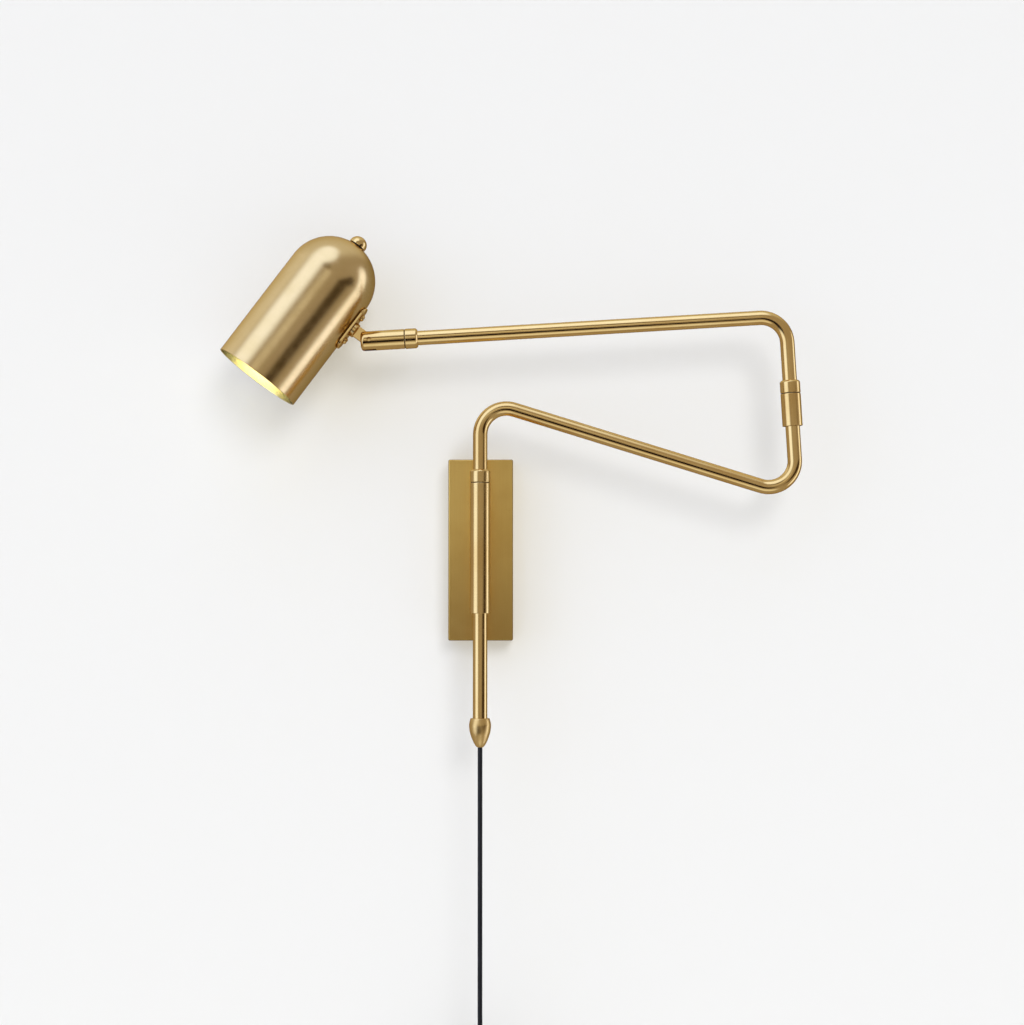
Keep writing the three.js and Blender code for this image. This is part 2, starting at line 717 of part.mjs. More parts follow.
function bracketPlate() {
  const outline = stadium(BRACKET_WIDTH / 2, BRACKET_LONG - BRACKET_WIDTH);
  const sagitta = SHADE_R - Math.sqrt(SHADE_R ** 2 - (BRACKET_WIDTH / 2) ** 2);
  const depth = BRACKET_THICK + sagitta;
  const strip = new THREE.ExtrudeGeometry(outline, { depth, bevelEnabled: false, curveSegments: 6 });
  strip.rotateX(Math.PI / 2).rotateZ(Math.PI / 2).translate(bracketFront - depth, 0, 0);
  const saddle = cylinder(SHADE_R + GAP, -BRACKET_LONG, BRACKET_LONG, 2 * ROUND_SIDES);
  saddle.translate(-SHADE_OFFSET, 0, 0);
  return cut(strip, saddle, ...screwHoles());
}

function bracketScrew(z) {
  const underHead = bracketFront + GAP;
  const headTop = underHead + BRACKET_HEAD;
  const tip = bracketBack - BRACKET_SCREW_TIP;
  return alongX(revolve([
    [0, tip],
    [BRACKET_SCREW_R, tip],
    [BRACKET_SCREW_R, underHead],
    [BRACKET_HEAD_R, underHead],
    [BRACKET_HEAD_R, underHead + BRACKET_HEAD_SIDE],
    [BRACKET_HEAD_CROWN_R, headTop - GAP],
    [0, headTop],
  ], SMALL_SIDES)).translate(0, 0, z);
}

function bracketNut(z) {
  const against = bracketBack - SHADE_SHEET - 3 * GAP;
  const nut = hexNut(BRACKET_SCREW_R + GAP, BRACKET_NUT_R, against - BRACKET_NUT, against);
  return alongX(nut).translate(0, 0, z);
}

place(tilt, 'tilt_knuckle', tiltKnuckle(), POLISHED_BRASS);
place(tilt, 'bracket_plate', bracketPlate(), POLISHED_BRASS);
for (const [where, z] of screwPlaces) {
  place(tilt, `bracket_screw_${where}`, bracketScrew(z), POLISHED_BRASS);
  place(tilt, `bracket_nut_${where}`, bracketNut(z), ZINC_STEEL);
}

// ---------- shade, socket, bulb and switch ----------

const lamp = new THREE.Group();
lamp.position.x = -SHADE_OFFSET;
tilt.add(lamp);

const domeCentre = SHADE_RIM + SHADE_BARREL;
const apex = domeCentre + SHADE_R;
const SHADE_SIDES = 36;
const DOME_STEPS = 7;

function shade() {
  const inner = SHADE_R - SHADE_SHEET;
  const holeR = NECK_R + GAP;
  const outerStart = Math.acos(holeR / SHADE_R);
  const innerStart = Math.acos(holeR / inner);
  const shell = revolve([
    [inner, SHADE_RIM],
    [SHADE_R, SHADE_RIM],
    ...arc(0, domeCentre, SHADE_R, 0, outerStart, DOME_STEPS),
    ...arc(0, domeCentre, inner, innerStart, 0, DOME_STEPS),
  ], SHADE_SIDES);
  return cut(shell, ...screwHoles().map((hole) => hole.translate(SHADE_OFFSET, 0, 0)));
}

const cavityTop = SOCKET_FOOT + SOCKET_CAVITY_DEEP;
const shaftFoot = cavityTop + SOCKET_ROOF;
const neckTop = apex + NECK_OUT;

function lampSocket() {
  return revolve([
    [SOCKET_CAVITY_R, SOCKET_FOOT],
    [SOCKET_BODY_R, SOCKET_FOOT],
    [SOCKET_BODY_R, SOCKET_TOP - SOCKET_SLOPE],
    [SOCKET_BODY_R - SOCKET_SLOPE, SOCKET_TOP],
    [NECK_R, SOCKET_TOP],
    [NECK_R, neckTop],
    [SHAFT_R + GAP, neckTop],
    [SHAFT_R + GAP, shaftFoot],
    [0, shaftFoot],
    [0, cavityTop],
    [SOCKET_CAVITY_R, cavityTop],
  ]);
}

// Between the socket's top and the inside of the dome.
function socketSpacer() {
  const underDome = domeCentre + Math.sqrt((SHADE_R - SHADE_SHEET) ** 2 - SPACER_R ** 2);
  return ring(NECK_R + GAP, SPACER_R, SOCKET_TOP + GAP, underDome - GAP, TUBE_SIDES);
}

const glassTop = SOCKET_FOOT + BULB_IN_SOCKET;

function bulbBase() {
  const top = glassTop + BULB_BASE_LONG;
  return revolve([
    [0, glassTop],
    [BULB_BASE_R, glassTop],
    [BULB_BASE_R, top - BULB_SHOULDER],
    [BULB_CONTACT_R, top],
    [BULB_CONTACT_R, top + BULB_CONTACT],
    [0, top + BULB_CONTACT],
  ], TUBE_SIDES);
}

function bulbGlass() {
  const neckR = BULB_BASE_R - GAP;
  const neckFoot = glassTop - BULB_NECK;
  const globe = BULB_TIP + BULB_R;
  const globeStart = 0.25 * Math.PI;
  const shoulderR = BULB_R * Math.cos(globeStart);
  const shoulderZ = globe + BULB_R * Math.sin(globeStart);
  return revolve([
    [0, glassTop - GAP],
    [neckR, glassTop - GAP],
    [neckR, neckFoot],
    [(neckR + shoulderR) / 2, (neckFoot + shoulderZ) / 2],
    ...arc(0, globe, BULB_R, globeStart, -Math.PI / 2, 10),
  ], ROUND_SIDES);
}

const knobFoot = apex + GAP;
const recessTop = neckTop + GAP;
const boreTop = recessTop + KNOB_BORE;

function switchKnob() {
  const socket = SHAFT_R + GAP / 2;
  const domeTall = KNOB_TALL - KNOB_SIDE;
  const steps = 7;
  const dome = [];
  for (let i = 0; i <= steps; i += 1) {
    const angle = (Math.PI / 2) * (i / steps);
    dome.push([KNOB_R * Math.cos(angle), knobFoot + KNOB_SIDE + domeTall * Math.sin(angle)]);
  }
  return revolve([
    [KNOB_RECESS_R, knobFoot],
    [KNOB_R, knobFoot],
    ...dome,
    [0, boreTop],
    [socket, boreTop],
    [socket, recessTop],
    [KNOB_RECESS_R, recessTop],
  ], TUBE_SIDES);
}

const switchNut = hexNut(NECK_R + GAP, SWITCH_NUT_R, apex + GAP, apex + GAP + SWITCH_NUT);

place(lamp, 'shade', shade(), SATIN_BRASS);
place(lamp, 'lamp_socket', lampSocket(), PHENOLIC);
place(lamp, 'socket_spacer', socketSpacer(), ZINC_STEEL);
place(lamp, 'switch_nut', switchNut, POLISHED_BRASS);
place(lamp, 'bulb_base', bulbBase(), ZINC_STEEL);
place(lamp, 'bulb_glass', bulbGlass(), BULB_GLASS);
place(lamp, 'switch_shaft', cylinder(SHAFT_R, shaftFoot + GAP, boreTop - GAP), ZINC_STEEL);
place(lamp, 'switch_knob', switchKnob(), POLISHED_BRASS);

// ---------- cord, coil, tie and plug ----------
// The cord drops from the acorn cap on the swing axis, eases aside into the outermost turn of a coil
// that hangs under it, and leaves the coil's back layer to hang straight again, with its plug.

const backLayerY = ARM_Y + CORD_PITCH * (COIL_LAYERS - 1);
const coilOuterR = COIL_INNER_R + (CORD_PITCH * COIL_LAPS) / COIL_LAYERS;
const coilMiddleY = (ARM_Y + backLayerY) / 2;
const coilHalfThick = (CORD_PITCH * COIL_LAYERS) / 2;
const coilInside = COIL_INNER_R - CORD_PITCH / 2;
const coilOutside = coilOuterR + CORD_PITCH / 2;

// [x, z] along the cord
const DROP_ROUTE = [
  [0, -173.1], [0, -190], [0, -208], [0, -226], [0, -244], [0, -262], [0, -280], [0, -298], [0, -316],
  [0, -334], [0, -352], [0, -370], [0, -388], [0, -404], [0, -419], [-0.68, -424.2], [-2.68, -429],
  [-5.86, -433.1], [-8.2, -435.5],
];
const TAIL_ROUTE = [
  [-8.2, -500.5], [-5.86, -502.9], [-2.68, -507], [-0.68, -511.8], [0, -517], [0, -524], [0, -531],
  [0, -538], [0, PLUG_Z],
];

function cordTube(route, y, steps) {
  const points = route.map(([x, z]) => new THREE.Vector3(x, y, z));
  const options = { steps, extrudePath: new THREE.CatmullRomCurve3(points), curveSegments: 4 };
  return new THREE.ExtrudeGeometry(circleShape(CORD_R), options);
}

function cordCoil() {
  const coil = alongY(ring(coilInside, coilOutside, -coilHalfThick, coilHalfThick));
  return coil.translate(0, coilMiddleY, COIL_Z);
}

// A flat band round the coil's turns, at its top.
function cordTie() {
  const halfY = coilHalfThick + GAP;
  const inside = Math.sqrt(coilInside ** 2 - (TIE_WIDE / 2) ** 2) - 2 * GAP;
  const outside = coilOutside + GAP;
  const band = (margin) => block(
    [-TIE_WIDE, -halfY - margin, inside - margin],
    [TIE_WIDE, halfY + margin, outside + margin],
  );
  const slab = block([-TIE_WIDE / 2, -coilOutside, 0], [TIE_WIDE / 2, coilOutside, 2 * coilOutside]);
  const outer = toGeometry(toSolid(band(TIE_THICK)).intersect(toSolid(slab)));
  return cut(outer, band(0)).translate(0, coilMiddleY, COIL_Z);
}

place(sconce, 'cord_drop', cordTube(DROP_ROUTE, ARM_Y, 26), BLACK_CORD);
place(sconce, 'cord_coil', cordCoil(), BLACK_CORD);
place(sconce, 'cord_tie', cordTie(), BLACK_PLASTIC);
place(sconce, 'cord_tail', cordTube(TAIL_ROUTE, backLayerY, 6), BLACK_CORD);

const plugTop = PLUG_Z - GAP;
const plugBottom = plugTop - PLUG_TALL;

const plug = new THREE.Group();
plug.position.y = backLayerY;
sconce.add(plug);

function plugBody() {
  const outline = new THREE.Shape();
  const x = PLUG_WIDTH / 2 - PLUG_CORNER;
  const y = PLUG_THICK / 2 - PLUG_CORNER;
  const quarter = Math.PI / 2;
  outline.absarc(x, y, PLUG_CORNER, 0, quarter);
  outline.absarc(-x, y, PLUG_CORNER, quarter, 2 * quarter);
  outline.absarc(-x, -y, PLUG_CORNER, 2 * quarter, 3 * quarter);
  outline.absarc(x, -y, PLUG_CORNER, 3 * quarter, 4 * quarter);
  const options = { depth: PLUG_TALL, bevelEnabled: false, curveSegments: 4 };
  const body = new THREE.ExtrudeGeometry(outline, options);
  body.translate(0, 0, plugBottom);
  return cut(body, bladeBlock(-1, GAP), bladeBlock(1, GAP));
}

// A blade, grown by a margin for the slot that it sits in.
function bladeBlock(side, margin) {
  const middle = (side * BLADE_SPACING) / 2;
  const halfThick = BLADE_THICK / 2 + margin;
  const halfWide = BLADE_WIDE / 2 + margin;
  return block(
    [middle - halfThick, -halfWide, plugBottom - BLADE_LONG - margin],
    [middle + halfThick, halfWide, plugBottom + BLADE_ROOT + margin],
  );
}

const reliefFoot = plugTop + GAP;
const relief = revolve([
  [CORD_R + GAP, reliefFoot],
  [RELIEF_FOOT_R, reliefFoot],
  [RELIEF_TIP_R, reliefFoot + RELIEF_LONG],
  [CORD_R + GAP, reliefFoot + RELIEF_LONG],
], SMALL_SIDES);

place(plug, 'plug_strain_relief', relief, BLACK_PLASTIC);
place(plug, 'plug_body', plugBody(), BLACK_PLASTIC);
place(plug, 'plug_blade_left', bladeBlock(-1, 0), ZINC_STEEL);
place(plug, 'plug_blade_right', bladeBlock(1, 0), ZINC_STEEL);

export default sconce;
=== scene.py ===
import json
import math

import bmesh
import bpy
from mathutils import Matrix, Vector


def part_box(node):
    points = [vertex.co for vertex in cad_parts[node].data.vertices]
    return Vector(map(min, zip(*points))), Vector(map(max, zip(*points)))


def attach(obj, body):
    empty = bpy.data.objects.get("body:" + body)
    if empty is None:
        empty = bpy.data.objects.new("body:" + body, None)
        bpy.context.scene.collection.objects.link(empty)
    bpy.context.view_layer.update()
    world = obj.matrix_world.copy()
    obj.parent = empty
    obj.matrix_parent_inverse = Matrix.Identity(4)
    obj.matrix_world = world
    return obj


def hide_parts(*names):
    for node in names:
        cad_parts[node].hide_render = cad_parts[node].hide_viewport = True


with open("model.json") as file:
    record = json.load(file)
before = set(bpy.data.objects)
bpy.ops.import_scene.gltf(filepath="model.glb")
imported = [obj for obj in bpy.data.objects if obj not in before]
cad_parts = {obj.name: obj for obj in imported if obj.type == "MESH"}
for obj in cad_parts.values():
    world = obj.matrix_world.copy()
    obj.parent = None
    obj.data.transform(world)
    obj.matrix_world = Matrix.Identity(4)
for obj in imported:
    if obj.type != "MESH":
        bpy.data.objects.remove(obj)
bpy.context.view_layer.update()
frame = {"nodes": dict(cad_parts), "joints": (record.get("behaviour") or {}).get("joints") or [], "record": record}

MM = 0.001
nodes = frame["nodes"]
body_of = {
    node: body for body, members in frame["record"]["behaviour"]["bodies"].items() for node in members
}
joints = {joint["name"]: joint for joint in frame["joints"]}

# ---------- the camera ----------

ARM_Y = joints["wall_swing"]["pos_m"][1]
CAMERA_AWAY = 2.015  # from the plane that the arms lie in
CAMERA_X = 0.0279
CAMERA_Z = -0.036
CAMERA_LOOKS_UP = 1.94

camera = bpy.data.objects.new("camera", bpy.data.cameras.new("camera"))
bpy.context.scene.collection.objects.link(camera)
camera.location = (CAMERA_X, ARM_Y - CAMERA_AWAY, CAMERA_Z)
camera.rotation_euler = (math.radians(90 + CAMERA_LOOKS_UP), 0, 0)
camera.data.lens = 80.8
camera.data.sensor_width = 36
bpy.context.scene.camera = camera

# ---------- local frames ----------
# Pieces are made in millimetres in a frame of their own, with the frame's Z along their axis.


def local_frame(origin, z_axis, x_hint):
    z = Vector(z_axis).normalized()
    y = z.cross(Vector(x_hint)).normalized()
    x = y.cross(z)
    place = Matrix((x, y, z)).transposed().to_4x4()
    place.translation = Vector(origin)
    return place


UP = Vector((0, 0, 1))
RIGHT = Vector((1, 0, 0))
TO_WALL = Vector((0, 1, 0))

pivot = Vector(joints["head_tilt"]["pos_m"])
pin = -Vector(joints["head_tilt"]["axis"])
upper_line = -Vector(joints["head_roll"]["axis"])
shade_axis = Vector(joints["switch_turn"]["axis"])
switch_place = Vector(joints["switch_turn"]["pos_m"])
elbow_axis = Vector(joints["elbow_swing"]["axis"])
elbow_seam = Vector(joints["elbow_swing"]["pos_m"])

row_frame = Matrix.Identity(4)
wall_frame = local_frame((0, ARM_Y, 0), UP, RIGHT)
elbow_frame = local_frame(elbow_seam, elbow_axis, RIGHT)
swivel_frame = local_frame(pivot, upper_line, pin.cross(upper_line))
pin_frame = local_frame(pivot, pin, upper_line)
head_frame = local_frame(pivot, shade_axis, pin.cross(shade_axis))
knuckle_frame = local_frame(pivot, head_frame.col[0].to_3d(), UP)
lamp_origin = switch_place + shade_axis * (pivot - switch_place).dot(shade_axis)
lamp_frame = local_frame(lamp_origin, shade_axis, pin.cross(shade_axis))


def extent(node, place):
    """A CAD node's lowest and highest z and largest radius in a local frame, in mm."""
    inward = place.inverted()
    points = [inward @ v.co / MM for v in nodes[node].data.vertices]
    heights = [p.z for p in points]
    return min(heights), max(heights), max(math.hypot(p.x, p.y) for p in points)


# ---------- mesh helpers ----------

SMOOTH_BELOW = math.radians(38)


def finish_mesh(piece):
    piece.data.shade_smooth()
    piece.data.set_sharp_from_angle(angle=SMOOTH_BELOW)
    evened = piece.modifiers.new("even_normals", "WEIGHTED_NORMAL")
    evened.keep_sharp = True


def skin(name, place, rings, loop=False, caps=False):
    """A mesh over a row of rings, in mm in a local frame. A ring is a closed line or one point."""
    points, starts, travel = [], [], [0]
    for ring in rings:
        starts.append(len(points))
        points += [Vector(p) * MM for p in ring]
    for before, after in zip(starts, starts[1:]):
        travel.append(travel[-1] + (points[after] - points[before]).length)
    pairs = list(zip(range(len(rings)), range(1, len(rings))))
    if loop:
        pairs.append((len(rings) - 1, 0))
    sides = max(len(ring) for ring in rings)
    faces, uvs = [], []
    for a, b in pairs:
        for i in range(sides):
            corners = [(a, i), (a, i + 1), (b, i + 1), (b, i)]
            face, face_uvs = [], []
            for ring, side in corners:
                index = starts[ring] + side % len(rings[ring])
                if index not in face:
                    face.append(index)
                    face_uvs.append((side / sides, travel[ring]))
            faces.append(face)
            uvs += face_uvs
    if caps:
        for ring in (0, len(rings) - 1):
            faces.append([starts[ring] + i for i in range(len(rings[ring]))])
            uvs += [(i / sides, travel[ring]) for i in range(len(rings[ring]))]
    mesh = bpy.data.meshes.new(name)
    mesh.from_pydata(points, [], faces)
    layer = mesh.uv_layers.new(name="along")
    for corner, uv in zip(layer.data, uvs):
        corner.uv = uv
    piece = bpy.data.objects.new(name, mesh)
    bpy.context.scene.collection.objects.link(piece)
    piece.matrix_world = place
    face_out(mesh)
    return piece


def face_out(mesh):
    work = bmesh.new()
    work.from_mesh(mesh)
    bmesh.ops.recalc_face_normals(work, faces=work.faces)
    work.to_mesh(mesh)
    work.free()


def soften(outline, loop=False, steps=4):
    """A line of (r, z) or (r, z, reach) corners. One with a reach is rounded that far along its sides."""
    line = []
    for i, (r, z, *reach) in enumerate(outline):
        corner = Vector((r, z))
        is_end = not loop and i in (0, len(outline) - 1)
        if not reach or is_end:
            line.append(corner)
            continue
        before = Vector(outline[i - 1][:2]) - corner
        after = Vector(outline[(i + 1) % len(outline)][:2]) - corner
        start = corner + before.normalized() * reach[0]
        end = corner + after.normalized() * reach[0]
        for step in range(steps + 1):
            t = step / steps
            line.append(start * (1 - t) ** 2 + corner * (2 * t * (1 - t)) + end * t * t)
    return line


def circle(radius, z, sides):
    turns = [math.tau * i / sides for i in range(sides)]
    return [(radius * math.cos(turn), radius * math.sin(turn), z) for turn in turns]


def lathe(name, place, outline, sides=72, loop=False):
    line = soften(outline, loop)
    rings = [circle(r, z, sides) if r > 0 else [(0, 0, z)] for r, z in line]
    return skin(name, place, rings, loop)


def dome_points(centre, radius, start, end, steps=32):
    """(r, z) points of an arc round a place on the axis."""
    turns = [start + (end - start) * step / steps for step in range(steps + 1)]
    return [(radius * math.cos(turn), centre + radius * math.sin(turn)) for turn in turns]


def rounded_rectangle(half_x, half_y, corner, steps=6):
    """Points round a rectangle with round corners, each corner an arc of steps parts."""
    points = []
    for quarter in range(4):
        cx = (half_x - corner) * (1 if quarter in (0, 3) else -1)
        cy = (half_y - corner) * (1 if quarter in (0, 1) else -1)
        for step in range(steps + 1):
            turn = math.pi / 2 * (quarter + step / steps)
            points.append((cx + corner * math.cos(turn), cy + corner * math.sin(turn)))
    return points


def block(name, place, low, high):
    x0, y0, z0 = low
    x1, y1, z1 = high
    outline = [(x0, y0), (x1, y0), (x1, y1), (x0, y1)]
    return skin(name, place, [[(x, y, z) for x, y in outline] for z in (z0, z1)], caps=True)


def combine(piece, operation, *tools):
    """Cuts tools out of a piece or joins them to it, and removes the tools."""
    for tool in tools:
        change = piece.modifiers.new("combine", "BOOLEAN")
        change.operation = operation
        change.solver = "EXACT"
        change.object = tool
    graph = bpy.context.evaluated_depsgraph_get()
    mesh = bpy.data.meshes.new_from_object(piece.evaluated_get(graph))
    piece.modifiers.clear()
    piece.data = mesh
    for tool in tools:
        bpy.data.objects.remove(tool)
    return piece


def drill(place, r, low, high):
    """A round bar that cuts a hole along a local frame's z axis."""
    return lathe("drill", place, [(0, low), (r, low), (r, high), (0, high)], 32)


def bent_path(corners, radius, steps=20):
    """(point, direction) stations along straight lines with each corner rounded, in mm."""
    first = (corners[1] - corners[0]).normalized()
    stations = [(corners[0], first)]
    for before, corner, after in zip(corners, corners[1:], corners[2:]):
        into = (corner - before).normalized()
        out = (after - corner).normalized()
        turn = into.angle(out)
        start = corner - into * radius * math.tan(turn / 2)
        inward = (out - into * out.dot(into)).normalized()
        centre = start + inward * radius
        for step in range(steps + 1):
            angle = turn * step / steps
            point = centre + (into * math.sin(angle) - inward * math.cos(angle)) * radius
            stations.append((point, into * math.cos(angle) + inward * math.sin(angle)))
    last = (corners[-1] - corners[-2]).normalized()
    stations.append((corners[-1], last))
    return stations


def tube(name, corners, radius, bore, bend, sides=48):
    """A tube bent in the arm plane. Its seam lies on the wall side."""
    path = bent_path(corners, bend)

    def ring(point, along, r):
        across = along.cross(TO_WALL)
        turns = [math.tau * i / sides for i in range(sides)]
        return [point + (TO_WALL * math.cos(t) + across * math.sin(t)) * r for t in turns]

    rings = [ring(point, along, radius) for point, along in path]
    rings += [ring(point, along, bore) for point, along in reversed(path)]
    return skin(name, row_frame, rings, loop=True)


# ---------- materials ----------


def add(tree, kind, inputs, **settings):
    """A shader node. Its inputs are numbers, colours or other nodes' outputs."""
    node = tree.nodes.new(kind)
    for key, value in settings.items():
        setattr(node, key, value)
    for key, value in inputs.items():
        if isinstance(value, bpy.types.NodeSocket):
            tree.links.new(value, node.inputs[key])
        else:
            node.inputs[key].default_value = value
    return node


def noise(tree, vector, scale, detail=3, rough=0.5):
    inputs = {"Vector": vector, "Scale": scale, "Detail": detail, "Roughness": rough}
    return add(tree, "ShaderNodeTexNoise", inputs).outputs["Fac"]


def spread(tree, value, low, high, to_low, to_high):
    inputs = {"Value": value, "From Min": low, "From Max": high, "To Min": to_low, "To Max": to_high}
    return add(tree, "ShaderNodeMapRange", inputs, interpolation_type="SMOOTHSTEP").outputs["Result"]


def mix_colour(tree, share, first, second):
    node = tree.nodes.new("ShaderNodeMix")
    node.data_type = "RGBA"
    tree.links.new(share, node.inputs[0])
    for socket, value in ((node.inputs[6], first), (node.inputs[7], second)):
        if isinstance(value, bpy.types.NodeSocket):
            tree.links.new(value, socket)
        else:
            socket.default_value = value
    return node.outputs[2]


def sum_of(tree, *values):
    total = values[0]
    for value in values[1:]:
        total = add(tree, "ShaderNodeMath", {0: total, 1: value}, operation="ADD").outputs[0]
    return total


def bump(tree, height, strength, distance):
    inputs = {"Height": height, "Strength": strength, "Distance": distance}
    return add(tree, "ShaderNodeBump", inputs).outputs["Normal"]


def new_material(name, slot):
    material = bpy.data.materials.new(name)
    material.use_nodes = True
    material["slot"] = slot
    return material, material.node_tree, material.node_tree.nodes["Principled BSDF"]


PATCH_SCALE = 22  # tarnish, centimetres across
SMUDGE_SCALE = 95  # fingermarks
PIT_SCALE = 900
GRAIN_DEPTH = 0.00002


def metal(
    name, slot, tone, dark, rough, grain, grain_space="Object", grain_depth=GRAIN_DEPTH, edge_tint=None
):
    """A brushed metal. grain holds the streak scales along the axes, rough the lowest and highest."""
    material, tree, shader = new_material(name, slot)
    coords = add(tree, "ShaderNodeTexCoord", {})
    where = coords.outputs["Object"]
    stretched = add(tree, "ShaderNodeMapping", {"Vector": coords.outputs[grain_space], "Scale": grain})
    streaks = noise(tree, stretched.outputs["Vector"], 1, 5, 0.6)
    patches = noise(tree, where, PATCH_SCALE, 3, 0.55)
    smudges = noise(tree, where, SMUDGE_SCALE, 4, 0.6)
    pits = noise(tree, where, PIT_SCALE, 2, 0.5)

    worn = add(tree, "ShaderNodeNewGeometry", {}).outputs["Pointiness"]
    edges = spread(tree, worn, 0.515, 0.58, 0, 0.35)
    tarnish = spread(tree, patches, 0.35, 0.7, 0, 0.5)
    specks = spread(tree, pits, 0.62, 0.75, 0, 0.25)
    colour = mix_colour(tree, sum_of(tree, tarnish, specks), (*tone, 1), (*dark, 1))
    colour = mix_colour(tree, spread(tree, streaks, 0.3, 0.7, 0, 0.16), colour, (*dark, 1))
    bright = [min(1, value * 1.1) for value in tone]
    tree.links.new(mix_colour(tree, edges, colour, (*bright, 1)), shader.inputs["Base Color"])

    low, high = rough
    grainy = spread(tree, streaks, 0.3, 0.7, low, (low + high) / 2)
    greasy = spread(tree, smudges, 0.4, 0.7, 0, (high - low) / 2)
    tree.links.new(sum_of(tree, grainy, greasy), shader.inputs["Roughness"])
    tree.links.new(bump(tree, streaks, 0.25, grain_depth), shader.inputs["Normal"])
    shader.inputs["Metallic"].default_value = 1
    if edge_tint:
        shader.inputs["Specular Tint"].default_value = (*edge_tint, 1)
    return material


def plastic(name, slot, tone, pale, rough, grain_scale, grain_depth, gloss=0.5):
    """A moulded or extruded plastic with a fine grain."""
    material, tree, shader = new_material(name, slot)
    where = add(tree, "ShaderNodeTexCoord", {}).outputs["Object"]
    patches = noise(tree, where, 40, 3, 0.55)
    grain = noise(tree, where, grain_scale, 3, 0.6)
    share = sum_of(tree, spread(tree, patches, 0.35, 0.7, 0, 0.5), spread(tree, grain, 0.45, 0.75, 0, 0.3))
    tree.links.new(mix_colour(tree, share, (*tone, 1), (*pale, 1)), shader.inputs["Base Color"])
    tree.links.new(spread(tree, grain, 0.3, 0.7, *rough), shader.inputs["Roughness"])
    tree.links.new(bump(tree, grain, 0.4, grain_depth), shader.inputs["Normal"])
    shader.inputs["Specular IOR Level"].default_value = gloss
    return material


SHADE_R = 40
PLATE_EDGE = 1.1

BRASS = (0.79, 0.56, 0.23)
BRASS_DARK = (0.68, 0.42, 0.13)
BRASS_EDGE = (0.72, 0.58, 0.38)
# painted shade: brown mixed into the plate toward its foot
PAINTED_SHADE_BROWN = (0.36, 0.20, 0.055)
# painted shade: dark brown laid on the plate's rounded edges
PAINTED_EDGE_SHADE_BROWN = (0.20, 0.11, 0.035)
# painted light: a paler colour for the shade's lining, standing in for the bulb's light on it
PAINTED_LIT_LINING = (0.96, 0.92, 0.66)
SATIN = (0.77, 0.57, 0.28)
SATIN_DARK = (0.69, 0.49, 0.20)
PLATE = (0.98, 0.69, 0.21)
PLATE_DARK = (0.84, 0.54, 0.14)
ZINC = (0.62, 0.63, 0.64)
ZINC_DARK = (0.42, 0.43, 0.45)

TURNED = (60, 60, 2600)  # rings round the local Z axis
DRAWN = (150, 6, 1)  # lines along a tube, in its own u and v
ROLLED = (1500, 60, 30)  # upright lines on the plate
EVEN = (400, 400, 400)
GLOSSY = (0.1, 0.22)
DULL = (0.28, 0.4)

turned_brass = metal("turned_brass", "polished_brass", BRASS, BRASS_DARK, GLOSSY, TURNED,
                     edge_tint=BRASS_EDGE)
drawn_brass = metal("drawn_brass", "polished_brass", BRASS, BRASS_DARK, GLOSSY, DRAWN, "UV",
                    edge_tint=BRASS_EDGE)
dull_brass = metal("dull_brass", "polished_brass", BRASS, BRASS_DARK, DULL, TURNED,
                   edge_tint=BRASS_EDGE)
satin_brass = metal("satin_brass", "satin_brass", SATIN, SATIN_DARK, (0.19, 0.27), TURNED,
                    grain_depth=0.000008, edge_tint=BRASS_EDGE)
plate_brass = metal("plate_brass", "plate_brass", PLATE, PLATE_DARK, (0.3, 0.46), ROLLED,
                    edge_tint=BRASS_EDGE)
zinc_steel = metal("zinc_steel", "plated_steel", ZINC, ZINC_DARK, (0.3, 0.5), EVEN)
black_nylon = plastic("black_nylon", "black_nylon", (0.020, 0.012, 0.006), (0.034, 0.022, 0.012),
                      (0.45, 0.65), 900, 0.00003, gloss=0.12)
cord_jacket = plastic("cord_jacket", "cord_jacket", (0.006, 0.006, 0.007), (0.016, 0.016, 0.018),
                      (0.32, 0.46), 1500, 0.00002, gloss=0.3)
black_plastic = plastic("black_plastic", "black_plastic", (0.009, 0.009, 0.010), (0.022, 0.022, 0.024),
                        (0.4, 0.6), 1200, 0.00004)
phenolic = plastic("phenolic", "phenolic", (0.018, 0.012, 0.009), (0.05, 0.035, 0.026),
                   (0.3, 0.5), 700, 0.00002)


def repaint(material, share_at, colour):
    """Mixes a colour into a material by a share that depends on the place on the piece."""
    tree = material.node_tree
    base = tree.nodes["Principled BSDF"].inputs["Base Color"]
    where = add(tree, "ShaderNodeTexCoord", {}).outputs["Object"]
    share = share_at(tree, where)
    tree.links.new(mix_colour(tree, share, base.links[0].from_socket, (*colour, 1)), base)


def plate_painted_shade(tree, where):
    """Painted shade: the plate is browner toward its foot, which stands in for the darker room it reflects there.
    """
    height = add(tree, "ShaderNodeSeparateXYZ", {"Vector": where}).outputs["Z"]
    foot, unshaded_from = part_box("wall_plate")[0].z - 4.5 * MM, 40 * MM
    return spread(tree, height, foot, unshaded_from, 0.5, 0)


def plate_painted_edge_shade(tree, where):
    """Painted shade: the plate's rounded edges are painted dark, which stands in for the dark they reflect."""
    depth = add(tree, "ShaderNodeSeparateXYZ", {"Vector": where}).outputs["Y"]
    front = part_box("wall_plate")[0].y
    onto = spread(tree, depth, front + 0.04 * MM, front + 0.4 * MM, 0, 0.95)
    past = spread(tree, depth, front + (PLATE_EDGE - 0.2) * MM, front + (PLATE_EDGE + 0.3) * MM, 0, -0.8)
    return sum_of(tree, onto, past)


